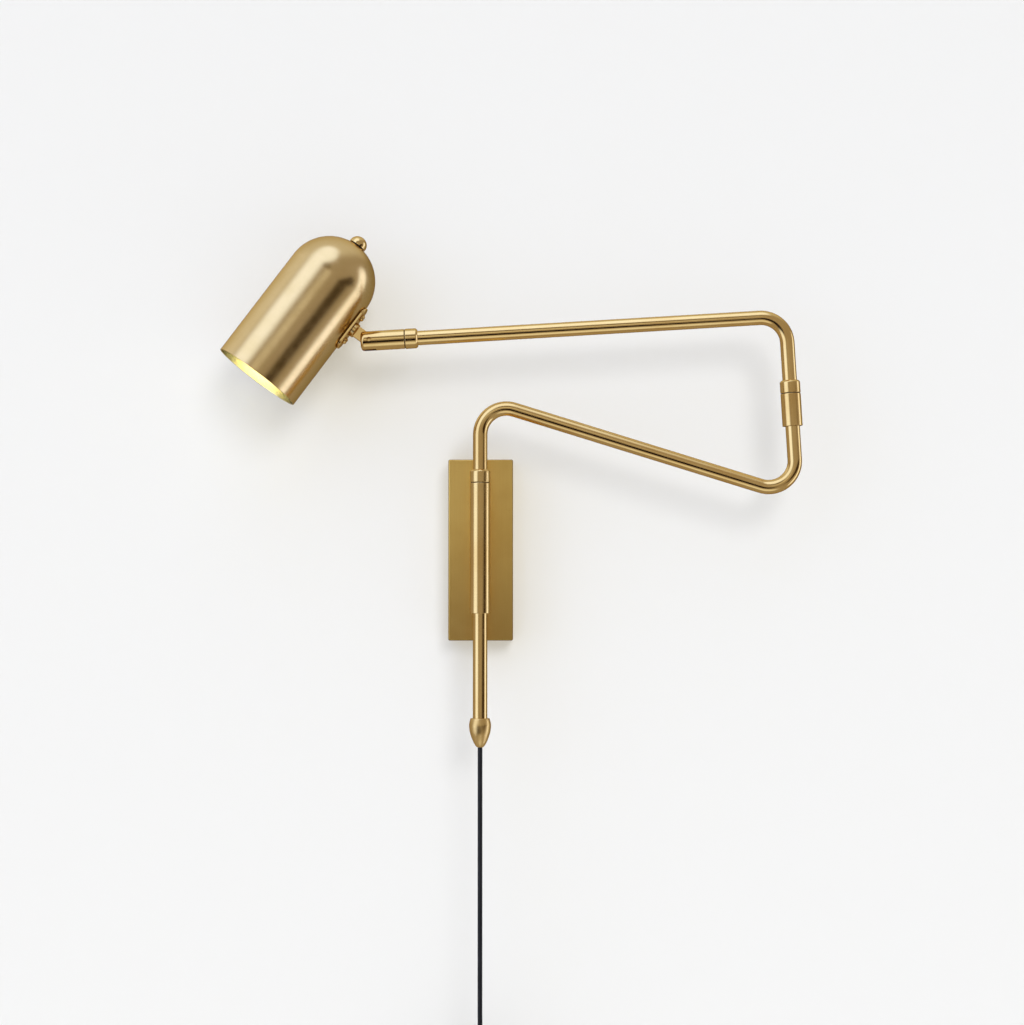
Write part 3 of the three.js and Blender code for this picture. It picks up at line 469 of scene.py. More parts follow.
def shade_inside(tree, where):
    """1 on the shade's inner face and 0 on its outer one: the lining is painted paler, which stands in for the
    bulb's light on it.
    """
    place = add(tree, "ShaderNodeSeparateXYZ", {"Vector": where}).outputs
    dome_centre = (switch_place - lamp_origin).dot(shade_axis) - SHADE_R * MM
    above = add(tree, "ShaderNodeMath", {0: place["Z"], 1: dome_centre}, operation="SUBTRACT").outputs[0]
    above = add(tree, "ShaderNodeMath", {0: above, 1: 0}, operation="MAXIMUM").outputs[0]
    reach = add(tree, "ShaderNodeCombineXYZ", {"X": place["X"], "Y": place["Y"], "Z": above}).outputs[0]
    reach = add(tree, "ShaderNodeVectorMath", {0: reach}, operation="LENGTH").outputs["Value"]
    return spread(tree, reach, (SHADE_R - 0.8) * MM, (SHADE_R - 0.2) * MM, 1, 0)


# painted shade: the plate is darkened toward its foot, where it reflects a darker room
repaint(plate_brass, plate_painted_shade, PAINTED_SHADE_BROWN)
# painted shade: the plate's rounded edges are darkened, standing in for the dark they reflect
repaint(plate_brass, plate_painted_edge_shade, PAINTED_EDGE_SHADE_BROWN)
# painted light: the shade's lining is made paler, standing in for the bulb's light on it
repaint(satin_brass, shade_inside, PAINTED_LIT_LINING)


FILAMENT_Z = -0.064  # in the lamp frame, where the bulb is brightest
NECK_Z = 0.003


def lit_glass():
    """The frosted, lit bulb: brightest round the filament, in the middle of its globe."""
    material, tree, shader = new_material("bulb_glass", "bulb_glass")
    where = add(tree, "ShaderNodeTexCoord", {}).outputs["Object"]
    height = add(tree, "ShaderNodeSeparateXYZ", {"Vector": where}).outputs["Z"]
    frost = noise(tree, where, 1300, 2, 0.5)
    clouds = noise(tree, where, 60, 3, 0.5)
    glow = spread(tree, height, FILAMENT_Z, NECK_Z, 1, 0)
    warm = mix_colour(tree, glow, (1, 0.90, 0.64, 1), (1, 0.96, 0.82, 1))
    tree.links.new(warm, shader.inputs["Emission Color"])
    strength = sum_of(tree, spread(tree, glow, 0, 1, 1.1, 3.2), spread(tree, clouds, 0.3, 0.7, 0, 0.2))
    tree.links.new(strength, shader.inputs["Emission Strength"])
    tree.links.new(mix_colour(tree, clouds, (0.9, 0.86, 0.76, 1), (0.95, 0.92, 0.86, 1)),
                   shader.inputs["Base Color"])
    tree.links.new(spread(tree, frost, 0.3, 0.7, 0.25, 0.45), shader.inputs["Roughness"])
    tree.links.new(bump(tree, frost, 0.2, 0.00002), shader.inputs["Normal"])
    return material


bulb_glass = lit_glass()


def settle(piece, material, *replaced):
    """Gives a new piece its material, rides it on its nodes' body and lets it stand for them."""
    if piece.type == "MESH":
        finish_mesh(piece)
    piece.data.materials.clear()
    piece.data.materials.append(material)
    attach(piece, body_of[replaced[0]])
    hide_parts(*replaced)
    return piece


# ---------- the cord ----------

CORD_R = 2.1
CORD_PITCH = 4.6
COIL_LAPS = 10.25
COIL_LAYERS = 4
COIL_INNER_R = 17
COIL_Z = -468
COIL_START = math.radians(135)
COIL_POINTS = 16  # in a lap
DROP_Y = ARM_Y / MM
BACK_Y = DROP_Y + (COIL_LAYERS - 1) * CORD_PITCH

CORD_TOP = -173.1
CORD_FOOT = -544.7
STRAIGHT_STEP = 18  # between the points of the straight drop
TAIL_STEP = 7
DROP_END = -419  # the straight drop ends here and bends to the left, into the coil
TAIL_START = -517
EASE_R = 20  # of the bends into the coil and out of it
EASE_END = (-8.2, 16.5)  # the last point of an easing bend: across, and on from its start


def easing(*degrees):
    """Points of a bend from upright toward the left: across, and on from its start."""
    turns = [math.radians(turn) for turn in degrees]
    return [(EASE_R * (math.cos(turn) - 1), EASE_R * math.sin(turn)) for turn in turns]


def drop_route():
    straight = [-190 - STRAIGHT_STEP * i for i in range(12)]
    route = [(0, z) for z in (CORD_TOP, *straight, -404, DROP_END)]
    return route + [(x, DROP_END - on) for x, on in [*easing(15, 30, 45), EASE_END]]


def tail_route():
    route = [(x, TAIL_START + on) for x, on in [EASE_END, *easing(45, 30, 15)]]
    return route + [(0, z) for z in (*(TAIL_START - TAIL_STEP * i for i in range(4)), CORD_FOOT)]


def coil_point(n):
    """A point of the coil after n laps: the turns run in, out, in and out again, a layer each."""
    sweep_laps = COIL_LAPS / COIL_LAYERS
    outer = COIL_INNER_R + CORD_PITCH * sweep_laps
    phase = (n / sweep_laps) % 2
    inward = phase if phase <= 1 else 2 - phase
    r = outer - CORD_PITCH * sweep_laps * inward
    y = DROP_Y
    for layer in range(1, COIL_LAYERS):
        step = n - layer * sweep_laps + 0.5
        step = min(1, max(0, step))
        y += CORD_PITCH * step * step * (3 - 2 * step)
    angle = COIL_START + math.tau * n
    return (r * math.cos(angle), y, COIL_Z + r * math.sin(angle))


def cord_route():
    route = [(x, DROP_Y, z) for x, z in drop_route()]
    steps = round(COIL_LAPS * COIL_POINTS)
    route += [coil_point(COIL_LAPS * i / steps) for i in range(steps + 1)]
    route += [(x, BACK_Y, z) for x, z in tail_route()]
    return [Vector(p) * MM for p in route]


def make_cord():
    data = bpy.data.curves.new("cord", "CURVE")
    data.dimensions = "3D"
    data.bevel_depth = CORD_R * MM
    data.bevel_resolution = 6
    data.resolution_u = 4
    data.use_fill_caps = True
    route = cord_route()
    spline = data.splines.new("BEZIER")
    spline.bezier_points.add(len(route) - 1)
    for i, p in enumerate(route):
        before, after = route[max(i - 1, 0)], route[min(i + 1, len(route) - 1)]
        along = (after - before).normalized()
        point = spline.bezier_points[i]
        point.co = p
        point.handle_left = p - along * (p - before).length / 3
        point.handle_right = p + along * (after - p).length / 3
    cord = bpy.data.objects.new("mains_cord", data)
    bpy.context.scene.collection.objects.link(cord)
    settle(cord, cord_jacket, "cord_drop", "cord_coil", "cord_tail")
    return cord


cord = make_cord()

# ---------- wall plate ----------

PLATE_WALL = 1.5
SCREW_HOLE_R = 2


def make_wall_plate():
    low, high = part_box("wall_plate")
    half_x, half_z, depth = high.x / MM, high.z / MM, -low.y / MM

    def ring(inset, y):
        corner = max(PLATE_EDGE + 0.4 - inset, 0.3)
        outline = rounded_rectangle(half_x - inset, half_z - inset, corner)
        return [(x, y, z) for x, z in outline]

    rings = [ring(PLATE_WALL, PLATE_WALL - depth), ring(PLATE_WALL, 0), ring(0, 0)]
    for step in range(6):
        turn = math.pi / 2 * step / 5
        rings.append(ring(PLATE_EDGE * (1 - math.cos(turn)), PLATE_EDGE * (1 - math.sin(turn)) - depth))
    plate = skin("wall_plate_model", row_frame, rings, caps=True)
    screw_low, screw_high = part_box("cover_screw_top")
    middle = (screw_low + screw_high) / 2
    hole_frame = local_frame((0, middle.y, 0), UP, RIGHT)
    reach = half_z + PLATE_WALL
    combine(plate, "DIFFERENCE", drill(hole_frame, SCREW_HOLE_R, -reach, reach))
    settle(plate, plate_brass, "wall_plate")


make_wall_plate()

# ---------- pivot posts and sleeves ----------

EDGE = 0.45  # how far turned edges are rounded
POST_STEP = 0.7  # from a post's foot in to its shank


def make_post(node):
    low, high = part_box(node)
    middle = (low + high) / 2
    place = local_frame((middle.x, high.y, middle.z), -TO_WALL, RIGHT)
    long = (high.y - low.y) / MM
    r = (high.z - low.z) / 2 / MM
    waist = r - POST_STEP
    outline = [(0, 0), (r, 0), (r, 1.6, 0.4), (waist, 2.4, 0.5), (waist, long), (0, long)]
    settle(lathe(f"{node}_model", place, outline, 48), turned_brass, node)


make_post("pivot_post_upper")
make_post("pivot_post_lower")


def make_sleeve(node, place, bore):
    low, high, r = extent(node, place)
    outline = [(bore, low), (r, low, EDGE), (r, high, EDGE), (bore, high)]
    settle(lathe(f"{node}_model", place, outline, loop=True), turned_brass, node)


SLEEVE_BORE_R = 7.6
TUBE_R = 6.35

make_sleeve("pivot_sleeve", wall_frame, SLEEVE_BORE_R)
make_sleeve("elbow_sleeve", elbow_frame, SLEEVE_BORE_R)

COLLAR_SHOULDER = 1.5
SET_SCREW_R = 1.7


def make_collar(node, place, bore):
    """A collar with a rounded shoulder and a hole for its set screw."""
    low, high, r = extent(node, place)
    outline = [
        (bore, low), (r, low, EDGE), (r, high - COLLAR_SHOULDER, EDGE),
        (r - COLLAR_SHOULDER, high, EDGE), (bore, high),
    ]
    piece = lathe(f"{node}_model", place, outline, loop=True)
    screw_low, screw_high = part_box(f"{node}_screw")
    hole_frame = local_frame((screw_low + screw_high) / 2, TO_WALL, UP)
    reach = r - bore
    combine(piece, "DIFFERENCE", drill(hole_frame, SET_SCREW_R, -reach, reach))
    settle(piece, turned_brass, node)


make_collar("wall_collar", wall_frame, TUBE_R)
make_collar("elbow_collar", elbow_frame, TUBE_R)

# ---------- arms ----------

BEND_R = 23
TUBE_BORE_R = 5.15
WALL_CORNER_Z = 131.75
LOWER_ARM_FALL = math.radians(17.2)
TUBE_IN_SLEEVE = 10
TUBE_IN_COLLAR = 4.9
HEAD_SEAM = 30.9


def crossing(a, along_a, b, along_b):
    """Where two lines in the arm plane cross."""
    between = b - a
    t = (between.x * along_b.z - between.z * along_b.x) / (along_a.x * along_b.z - along_a.z * along_b.x)
    return a + along_a * t


lower_line = Vector((math.cos(LOWER_ARM_FALL), 0, -math.sin(LOWER_ARM_FALL)))
wall_corner = Vector((0, DROP_Y, WALL_CORNER_Z))
seam_mm = elbow_seam / MM
pivot_mm = pivot / MM
low_corner = crossing(wall_corner, lower_line, seam_mm, elbow_axis)
high_corner = crossing(pivot_mm, upper_line, seam_mm, elbow_axis)

elbow_sleeve_foot = extent("elbow_sleeve", elbow_frame)[0]
lower_foot = Vector((0, DROP_Y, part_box("lower_arm_tube")[0].z / MM))
lower_end = seam_mm + elbow_axis * (elbow_sleeve_foot + TUBE_IN_SLEEVE)
lower_tube = tube(
    "lower_arm_tube_model", [lower_foot, wall_corner, low_corner, lower_end], TUBE_R, TUBE_BORE_R, BEND_R
)
settle(lower_tube, drawn_brass, "lower_arm_tube")
upper_start = seam_mm + elbow_axis * TUBE_IN_COLLAR
upper_end = pivot_mm + upper_line * (HEAD_SEAM + TUBE_IN_COLLAR)
upper_tube = tube(
    "upper_arm_tube_model", [upper_start, high_corner, upper_end], TUBE_R, TUBE_BORE_R, BEND_R
)
settle(upper_tube, drawn_brass, "upper_arm_tube")
make_collar("head_collar", swivel_frame, TUBE_R)

# ---------- acorn cap ----------

ACORN_PROFILE = [  # share of the way down, radius
    (0, 8.3), (0.08, 8.95), (0.22, 9.6), (0.36, 9.4), (0.52, 8.69), (0.68, 7.35), (0.83, 5.76),
    (0.93, 4.3), (1, 2.9),
]
CORD_HOLE_R = 2.45
ACORN_SOCKET = 15


def smooth_line(points, steps=6):
    """A Catmull-Rom line through points."""
    ends = [points[0] * 2 - points[1], *points, points[-1] * 2 - points[-2]]
    line = []
    for a, b, c, d in zip(ends, ends[1:], ends[2:], ends[3:]):
        for step in range(steps):
            t = step / steps
            line.append(
                (b * 2 + (c - a) * t + (a * 2 - b * 5 + c * 4 - d) * t * t
                 + (b * 3 - a - c * 3 + d) * t * t * t) / 2
            )
    return [*line, points[-1]]


def make_acorn():
    low, high, _ = extent("acorn_cap", wall_frame)
    profile = [Vector((r, high - (high - low) * share)) for share, r in ACORN_PROFILE]
    outside = [(p.x, p.y) for p in smooth_line(profile)]
    outline = [
        (TUBE_R, high), *outside, (CORD_HOLE_R, low),
        (CORD_HOLE_R, high - ACORN_SOCKET), (TUBE_R, high - ACORN_SOCKET),
    ]
    settle(lathe("acorn_cap_model", wall_frame, outline, loop=True), dull_brass, "acorn_cap")


make_acorn()

# ---------- swivel ----------

SWIVEL_ROUND = 3.4
SWIVEL_SOCKET = 18  # depth of the bore for its bush
SLOT_HALF = 3.1
SLOT_DEPTH = 5.7
PIN_R = 1.9
PIN_HEAD_R = 3.2
PIN_HEAD_DEEP = 2.6
CLEAR = 0.3  # between pieces that touch


def make_swivel():
    low, high, r = extent("swivel_fork", swivel_frame)
    floor = high - SWIVEL_SOCKET
    outline = [
        (0, low), (r, low, SWIVEL_ROUND), (r, high, EDGE), (SLEEVE_BORE_R, high),
        (SLEEVE_BORE_R, floor), (0, floor),
    ]
    fork = lathe("swivel_fork_model", swivel_frame, outline)
    slot = block("slot", swivel_frame, (-2 * r, -SLOT_HALF, 2 * low), (2 * r, SLOT_HALF, SLOT_DEPTH))
    pin_hole = drill(pin_frame, PIN_R, -2 * r, 2 * r)
    head_room = drill(pin_frame, PIN_HEAD_R + CLEAR, r - PIN_HEAD_DEEP, 2 * r)
    combine(fork, "DIFFERENCE", slot, pin_hole, head_room)
    settle(fork, turned_brass, "swivel_fork")


make_swivel()

# ---------- bracket and knuckle ----------

shade_offset = (pivot - lamp_origin).length / MM
BRACKET_THICK = 1.9
BRACKET_HALF_WIDE = 7
bracket_back = SHADE_R - shade_offset + CLEAR
bracket_front = bracket_back + BRACKET_THICK


def make_bracket():
    low, high, _ = extent("bracket_plate", head_frame)
    half_long = (high - low) / 2

    def ring(inset, lift):
        """lift is the height above the saddle's back, as a share of the strap's thickness."""
        half_wide = BRACKET_HALF_WIDE - inset
        outline = rounded_rectangle(half_wide, half_long - inset, half_wide - 0.01, 12)
        points = []
        for y, z in outline:
            back = math.sqrt((SHADE_R + CLEAR) ** 2 - y * y) - shade_offset
            points.append((back + (bracket_front - back) * lift, y, z))
        return points

    rings = [ring(inset, 0) for inset in (6, 4.5, 3, 1.5, 0.3)]
    rings += [ring(0, 0.15), ring(0, 0.7), ring(0.12, 0.87), ring(0.35, 0.96), ring(0.7, 1), ring(6, 1)]
    bracket = skin("bracket_plate_model", head_frame, rings, caps=True)
    settle(bracket, turned_brass, "bracket_plate")


make_bracket()

BRACKET_SCREW_UP = 12.5
SHANK_R = 1.6
SCREW_HEAD_R = 3.1


def make_bracket_screw(node, up):
    low, top, _ = extent(node, knuckle_frame)
    place = head_frame @ Matrix.Translation((0, 0, up * MM)) @ Matrix.Rotation(math.pi / 2, 4, "Y")
    foot = bracket_front + 0.05
    outline = [
        (0, low), (SHANK_R, low, 0.3), (SHANK_R, foot), (SCREW_HEAD_R, foot),
        (SCREW_HEAD_R, foot + 0.9, 0.5), (SCREW_HEAD_R - 0.8, top - 0.25, 0.7), (0, top),
    ]
    screw = lathe(f"{node}_model", place, outline, 40)
    slot = block("slot", place, (-0.4, -4, top - 0.9), (0.4, 4, top + 1))
    combine(screw, "DIFFERENCE", slot)
    settle(screw, turned_brass, node)


make_bracket_screw("bracket_screw_upper", BRACKET_SCREW_UP)
make_bracket_screw("bracket_screw_lower", -BRACKET_SCREW_UP)

KNUCKLE_RING_R = 6.6
KNUCKLE_RING_THICK = 3.2
TONGUE_ROOT = 1.6  # how far inside the ring the tongue starts
TONGUE_R = 5.2
TONGUE_HALF = 2.1


def make_knuckle():
    back = bracket_front + CLEAR
    front = back + KNUCKLE_RING_THICK
    place = head_frame @ Matrix.Rotation(math.pi / 2, 4, "Y")
    disc = lathe("tilt_knuckle_model", place, [
        (0, back), (KNUCKLE_RING_R, back, 0.5), (KNUCKLE_RING_R, front, 0.6), (0, front),
    ])
    outline = [(back + TONGUE_ROOT, -TONGUE_R)]
    outline += dome_points(0, TONGUE_R, -math.pi / 2, math.pi / 2, 24)
    outline.append((back + TONGUE_ROOT, TONGUE_R))
    rings = [[(x, y, z) for x, z in outline] for y in (-TONGUE_HALF, TONGUE_HALF)]
    tongue = skin("tongue", head_frame, rings, caps=True)
    combine(disc, "UNION", tongue)
    combine(disc, "DIFFERENCE", drill(pin_frame, PIN_R + CLEAR, -2 * TONGUE_R, 2 * TONGUE_R))
    settle(disc, turned_brass, "tilt_knuckle")


make_knuckle()


def make_tilt_screw():
    low, high, _ = extent("tilt_screw", pin_frame)
    head = high - 2.1
    outline = [
        (0, low), (PIN_R, low, 0.3), (PIN_R, head), (PIN_HEAD_R, head), (PIN_HEAD_R, high, 0.5), (0, high)
    ]
    screw = lathe("tilt_screw_model", pin_frame, outline, 40)
    slot = block("slot", pin_frame, (-0.45, -5, high - 1), (0.45, 5, high + 1))
    combine(screw, "DIFFERENCE", slot)
    settle(screw, turned_brass, "tilt_screw")


make_tilt_screw()

# ---------- shade ----------

SHEET = 1
NECK_HOLE_R = 4.8


def make_shade():
    rim = extent("shade", lamp_frame)[0]
    apex = (switch_place - lamp_origin).dot(shade_axis) / MM
    centre = apex - SHADE_R
    inner = SHADE_R - SHEET
    straight = [rim + (centre - rim) * share for share in (0.1, 0.35, 0.6, 0.85)]
    outside = dome_points(centre, SHADE_R, 0, math.acos(NECK_HOLE_R / SHADE_R))
    inside = dome_points(centre, inner, math.acos(NECK_HOLE_R / inner), 0)
    outline = [
        (inner, rim, 0.35), (SHADE_R, rim, 0.35), *[(SHADE_R, z) for z in straight], *outside,
        *inside, *[(inner, z) for z in reversed(straight)],
    ]
    settle(lathe("shade_model", lamp_frame, outline, 144, loop=True), satin_brass, "shade")


make_shade()

# ---------- switch ----------

SHAFT_R = 2.5
KNOB_RECESS_R = 6.9


def make_knob():
    low, high, r = extent("switch_knob", lamp_frame)
    side = low + 1
    dome = []
    for step in range(16):
        turn = math.pi / 2 * step / 16
        dome.append((r * math.cos(turn), side + (high - side) * math.sin(turn)))
    bore, recess = low + 5.2, low + 1.3
    outline = [
        (0, bore), (SHAFT_R, bore), (SHAFT_R, recess), (KNOB_RECESS_R, recess), (KNOB_RECESS_R, low),
        (r, low), *dome, (0, high),
    ]
    settle(lathe("switch_knob_model", lamp_frame, outline, 64), turned_brass, "switch_knob")


make_knob()

# ---------- socket and bulb ----------


SOCKET_BORE_R = 13.6
SOCKET_BORE_DEEP = 31
SOCKET_FLOOR = 6
SOCKET_GROOVES = (8, 14, 20)
SOCKET_SHOULDER = 47
SOCKET_TOP = 50
NECK_R = 4.5
NECK_BORE_R = 2.7


def make_socket():
    low, high, r = extent("lamp_socket", lamp_frame)
    cavity = low + SOCKET_BORE_DEEP
    roof = cavity + SOCKET_FLOOR
    outline = [(0, cavity), (SOCKET_BORE_R, cavity), (SOCKET_BORE_R, low), (r, low, 0.6)]
    for groove in SOCKET_GROOVES:
        start = low + groove
        outline += [(r, start, 0.3), (r - 0.8, start + 0.8, 0.3), (r, start + 1.6, 0.3)]
    outline += [
        (r, SOCKET_SHOULDER, 0.8), (r - 3, SOCKET_TOP, 0.6), (NECK_R, SOCKET_TOP), (NECK_R, high),
        (NECK_BORE_R, high), (NECK_BORE_R, roof), (0, roof),
    ]
    settle(lathe("lamp_socket_model", lamp_frame, outline, 64), phenolic, "lamp_socket")


make_socket()


THREAD_RIDGES = 6
RIDGE_STEPS = 8
RIDGE_R = 0.45


def make_bulb_base():
    low, high, r = extent("bulb_base", lamp_frame)
    shoulder = high - 6
    outline = [(0, low), (r - 0.4, low)]
    points = THREAD_RIDGES * RIDGE_STEPS
    for i in range(points + 1):
        z = low + 1.5 + (shoulder - low - 2.5) * i / points
        outline.append((r - RIDGE_R + RIDGE_R * math.cos(math.tau * i / RIDGE_STEPS), z))
    outline += [
        (r - 1.2, shoulder, 0.5), (5, high - 1, 0.4), (4.2, high - 0.9), (3.6, high, 0.4), (0, high)
    ]
    settle(lathe("bulb_base_model", lamp_frame, outline, 56), zinc_steel, "bulb_base")


make_bulb_base()


GLOBE_TOP = 15.6  # above its middle, where the neck begins


def make_bulb():
    low, high, r = extent("bulb_glass", lamp_frame)
    centre = low + r
    neck = [(12.4, high), (12.3, high - 5), (13.2, high - 11), (16.2, centre + GLOBE_TOP)]
    line = [(p.x, p.y) for p in smooth_line([Vector(p) for p in neck])]
    globe = dome_points(centre, r, math.asin(GLOBE_TOP / r), -math.pi / 2)
    globe[-1] = (0, low)
    glass = lathe("bulb_glass_model", lamp_frame, [(0, high), *line[:-1], *globe], 72)
    glass.visible_diffuse = False  # its glow stays inside the shade
    settle(glass, bulb_glass, "bulb_glass")


make_bulb()

# ---------- tie, strain relief and plug ----------

TIE_CORNER = 2.4
TIE_WALL = 1.1


def make_tie():
    low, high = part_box("cord_tie")
    middle = (low + high) / 2
    size = (high - low) / MM
    place = local_frame(middle, RIGHT, UP)

    def ring(inset, x):
        outline = rounded_rectangle(size.z / 2 - inset, size.y / 2 - inset, TIE_CORNER - inset)
        return [(z, y, x) for z, y in outline]

    half = size.x / 2
    rings = [
        ring(TIE_WALL, -half), ring(TIE_WALL, half), ring(0.2, half), ring(0, half - 0.3),
        ring(0, 0.3 - half), ring(0.2, -half),
    ]
    settle(skin("cord_tie_model", place, rings, loop=True), black_plastic, "cord_tie")


make_tie()


RELIEF_TIP_R = 3.2
RELIEF_GROOVES = 7


def make_relief():
    place = local_frame((0, BACK_Y * MM, 0), UP, RIGHT)
    low, high, r = extent("plug_strain_relief", place)
    bore = CORD_R + 0.15
    outline = [(bore, low), (r, low, 0.3)]
    for i in range(RELIEF_GROOVES):
        share = (i + 0.5) / RELIEF_GROOVES
        outer = r + (RELIEF_TIP_R - r) * share
        inner = outer - 0.75
        z = low + (high - low) * share
        outline += [(outer, z - 0.75, 0.25), (inner, z - 0.45), (inner, z + 0.45), (outer, z + 0.75, 0.25)]
    outline += [(RELIEF_TIP_R, high, 0.4), (bore, high)]
    relief = lathe("plug_strain_relief_model", place, outline, 48, loop=True)
    settle(relief, black_plastic, "plug_strain_relief")


make_relief()


PLUG_CORNER = 4
PLUG_GROOVES = 5
PLUG_GROOVE_STEP = 2.6


def make_plug():
    low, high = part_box("plug_body")
    middle = (low + high) / 2
    half = (high - low) / 2 / MM
    place = local_frame(middle, UP, RIGHT)

    def ring(inset, z):
        outline = rounded_rectangle(half.x - inset, half.y - inset, max(PLUG_CORNER - inset, 0.5))
        return [(x, y, z) for x, y in outline]

    rings = [ring(1, -half.z), ring(0.3, 0.3 - half.z), ring(0, 1 - half.z), ring(0, 3 - half.z)]
    for groove in range(PLUG_GROOVES):
        z = -half.z + 5 + PLUG_GROOVE_STEP * groove
        rings += [ring(0, z), ring(0.7, z + 0.5), ring(0.7, z + 1.1), ring(0, z + 1.6)]
    rings += [ring(0, half.z - 6), ring(0.8, half.z - 3), ring(2.4, half.z - 0.9), ring(4, half.z)]
    settle(skin("plug_body_model", place, rings, caps=True), black_plastic, "plug_body")


make_plug()


BLADE_HOLE_UP = 3.4
BLADE_HOLE_R = 1.5


def make_blade(node):
    low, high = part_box(node)
    middle = (low + high) / 2
    half = (high - low) / 2 / MM
    place = local_frame(middle, UP, RIGHT)

    def ring(inset, z):
        return [(x, y, z) for x, y in rounded_rectangle(half.x - inset, half.y - inset, 0.3)]

    rings = [ring(0.45, -half.z), ring(0.2, 0.6 - half.z), ring(0, 1.6 - half.z), ring(0, half.z)]
    blade = skin(f"{node}_model", place, rings, caps=True)
    hole_place = local_frame((middle.x, middle.y, low.z + BLADE_HOLE_UP * MM), RIGHT, UP)
    reach = 2 * BLADE_HOLE_R
    combine(blade, "DIFFERENCE", drill(hole_place, BLADE_HOLE_R, -reach, reach))
    settle(blade, zinc_steel, node)


make_blade("plug_blade_left")
make_blade("plug_blade_right")

# ---------- CAD nodes that stay ----------

KEPT = {
    zinc_steel: [
        "mounting_bar", "cover_screw_top", "cover_screw_bottom", "post_screw_upper", "post_screw_lower",
        "wall_collar_screw", "elbow_collar_screw", "head_collar_screw", "elbow_spigot", "head_spigot",
        "elbow_clip", "head_clip", "bracket_nut_upper", "bracket_nut_lower", "socket_spacer",
        "switch_shaft",
    ],
    black_nylon: [
        "wall_bush_upper", "wall_bush_lower", "wall_washer", "elbow_bush", "elbow_washer", "head_bush",
        "head_washer", "cord_grip", "tilt_washer_back", "tilt_washer_front",
    ],
    cord_jacket: ["lower_arm_wire", "upper_arm_wire"],
    turned_brass: ["switch_nut"],
}

for material, names in KEPT.items():
    for name in names:
        node = nodes[name]
        node.data.materials.clear()
        node.data.materials.append(material)
        rounding = node.modifiers.new("rounding", "BEVEL")
        rounding.width = 0.15 * MM
        rounding.segments = 2

# ---------- world ----------
# A dim room with soft boxes round the lamp. Directions are angles to the right of and above the way
# out from the wall, in degrees.

ROOM = (0.42, 0.375, 0.32)
DARK = (0.045, 0.027, 0.010)
DARKEST = (0.006, 0.001, 0)
DIM = (0.20, 0.16, 0.10)
SOFTBOX = (1.28, 1.48, 2.05)
CEILING = (0.70, 0.70, 0.68)
BAND = (0.80, 0.80, 0.78)

# one end, other end, angle of its full strength, angle where it has faded, colour
STRIPS = [
    ((-165, 40), (-115, 45), 14, 36, (0.85, 0.88, 0.95)),
    ((180, 78), (180, 60), 25, 50, CEILING),
    ((125, 0), (170, 0), 10, 35, (0.36, 0.33, 0.27)),
    ((58, -4), (31, -12), 6, 13, DARK),
    ((0, -18), (-50, -18), 9.5, 14, DARKEST),
    ((-57, -8), (-16, 68), 8, 29, SOFTBOX),
    ((0, 74), (0, 60), 8, 22, SOFTBOX),
    ((-8, 33), (0, 32), 1, 9, DIM),
    ((-8, 15), (0, 14), 2, 9, BAND),
    ((97, 12), (84, -34), 6, 16, (1.42, 1.54, 2.0)),
    ((-10, -58), (10, -56), 6, 20, (0.95, 1.0, 1.1)),
]


def towards(right, up):
    right, up = math.radians(right), math.radians(up)
    return Vector((math.sin(right) * math.cos(up), -math.cos(right) * math.cos(up), math.sin(up)))


def strip_share(tree, direction, one_end, other_end, inner, outer):
    """1 within inner degrees of the line between two directions, fading to 0 at outer degrees."""
    start, end = towards(*one_end), towards(*other_end)
    along = end - start
    reach = add(tree, "ShaderNodeVectorMath", {0: direction, 1: along}, operation="DOT_PRODUCT")
    span = {"Value": reach.outputs["Value"], "From Min": start.dot(along), "From Max": end.dot(along)}
    share = add(tree, "ShaderNodeMapRange", span).outputs["Result"]
    nearest = add(tree, "ShaderNodeMix", {0: share, 4: start, 5: end}, data_type="VECTOR").outputs[1]
    nearest = add(tree, "ShaderNodeVectorMath", {0: nearest}, operation="NORMALIZE").outputs["Vector"]
    facing = add(tree, "ShaderNodeVectorMath", {0: direction, 1: nearest}, operation="DOT_PRODUCT")
    far, near = math.cos(math.radians(outer)), math.cos(math.radians(inner))
    return spread(tree, facing.outputs["Value"], far, near, 0, 1)


def build_world():
    world = bpy.data.worlds.new("world")
    world.use_nodes = True
    tree = world.node_tree
    direction = add(tree, "ShaderNodeTexCoord", {}).outputs["Generated"]
    light = (*ROOM, 1)
    for one_end, other_end, inner, outer, colour in STRIPS:
        share = strip_share(tree, direction, one_end, other_end, inner, outer)
        light = mix_colour(tree, share, light, (*colour, 1))
    tree.links.new(light, tree.nodes["Background"].inputs["Color"])
    bpy.context.scene.world = world


build_world()

# ---------- wall, floor, backdrop and key light ----------

PALE = 0.922
PALE_PAINT = 0.6


def stage_plane(name, corners, material):
    mesh = bpy.data.meshes.new(name)
    mesh.from_pydata(corners, [], [(0, 1, 2, 3)])
    mesh.materials.append(material)
    plane = bpy.data.objects.new(name, mesh)
    bpy.context.scene.collection.objects.link(plane)
    plane.visible_glossy = False
    return plane


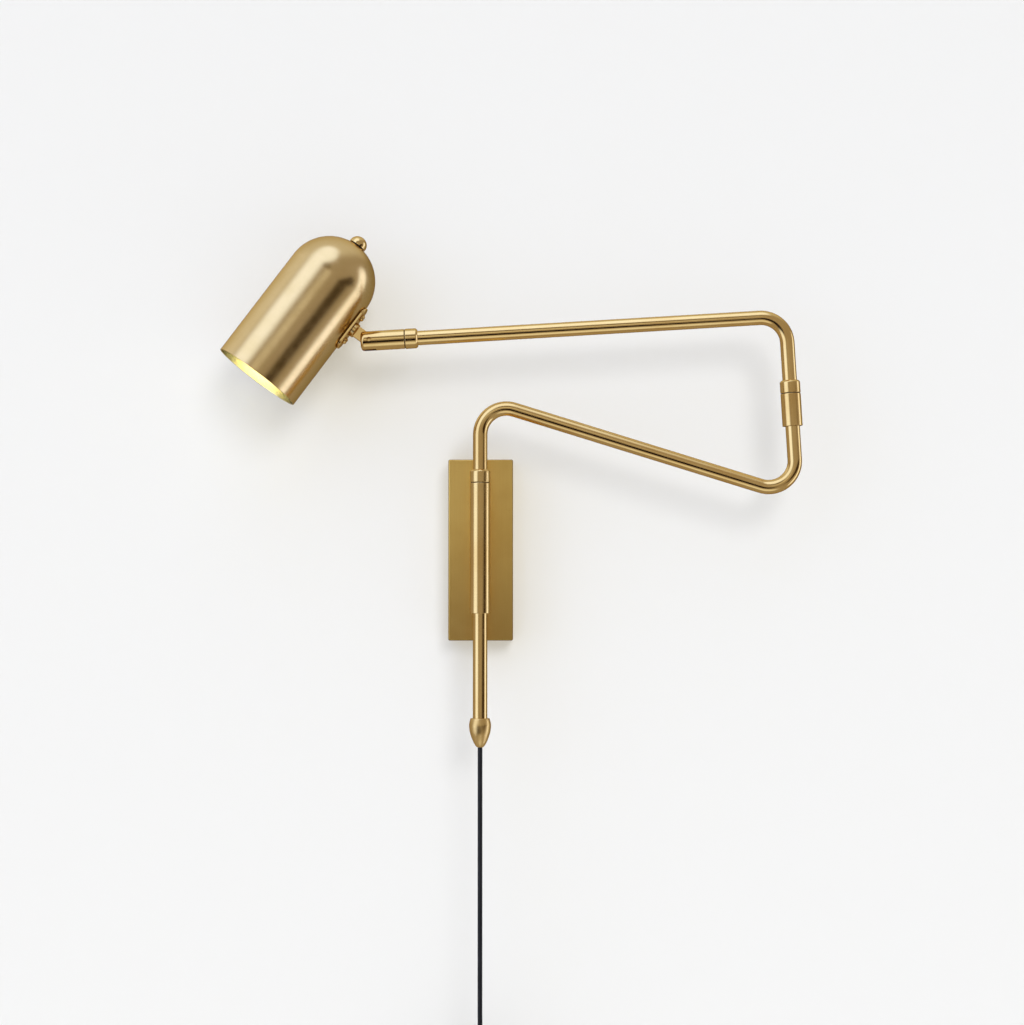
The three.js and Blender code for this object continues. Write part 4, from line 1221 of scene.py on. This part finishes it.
def pale_material(name, glow):
    """A plain pale surface, clear from behind."""
    material = bpy.data.materials.new(name)
    material.use_nodes = True
    tree = material.node_tree
    shader = tree.nodes["Principled BSDF"]
    shader.inputs["Base Color"].default_value = (PALE_PAINT, PALE_PAINT, PALE_PAINT, 1)
    shader.inputs["Roughness"].default_value = 1
    shader.inputs["Specular IOR Level"].default_value = 0
    shader.inputs["Emission Color"].default_value = (*glow, 1)
    shader.inputs["Emission Strength"].default_value = 1
    clear = add(tree, "ShaderNodeBsdfTransparent", {})
    behind = add(tree, "ShaderNodeNewGeometry", {}).outputs["Backfacing"]
    both = add(tree, "ShaderNodeMixShader", {0: behind, 1: shader.outputs[0], 2: clear.outputs[0]})
    tree.links.new(both.outputs[0], tree.nodes["Material Output"].inputs["Surface"])
    return material


SPAN = 6
FLOOR_Z = -0.9
WALL_TOP = 5
WALL_GLOW = (0.281, 0.268, 0.214)
FLOOR_GLOW = (0.25, 0.225, 0.15)
wall_corners = [
    (-SPAN, 0, FLOOR_Z), (SPAN, 0, FLOOR_Z), (SPAN, 0, WALL_TOP), (-SPAN, 0, WALL_TOP)
]
floor_corners = [
    (-SPAN, -SPAN, FLOOR_Z), (SPAN, -SPAN, FLOOR_Z), (SPAN, SPAN, FLOOR_Z), (-SPAN, SPAN, FLOOR_Z)
]
stage_plane("wall", wall_corners, pale_material("wall_pale", WALL_GLOW))
stage_plane("floor", floor_corners, pale_material("floor_pale", FLOOR_GLOW))


def build_backdrop():
    """A pale shell round the whole stage, which lights nothing and is only seen directly."""
    material = bpy.data.materials.new("backdrop")
    material.use_nodes = True
    tree = material.node_tree
    glow = add(tree, "ShaderNodeEmission", {"Color": (PALE, PALE, PALE, 1), "Strength": 1})
    tree.links.new(glow.outputs[0], tree.nodes["Material Output"].inputs["Surface"])
    far = 2 * SPAN / MM
    shell = lathe("backdrop", row_frame, [(0, -far), (far, 0), (0, far)], 24)
    shell.data.materials.append(material)
    shell.visible_diffuse = False
    shell.visible_glossy = False
    shell.visible_transmission = False
    shell.visible_shadow = False


build_backdrop()

KEY_FROM = Vector((0.29, -1, 0.45))
KEY_STRENGTH = 1.12
KEY_WIDTH = math.radians(25)
key = bpy.data.objects.new("key", bpy.data.lights.new("key", "SUN"))
bpy.context.scene.collection.objects.link(key)
key.data.energy = KEY_STRENGTH
key.data.angle = KEY_WIDTH
key.rotation_euler = KEY_FROM.to_track_quat("Z", "Y").to_euler()
key.visible_glossy = False

bpy.context.scene.view_settings.view_transform = "Standard"
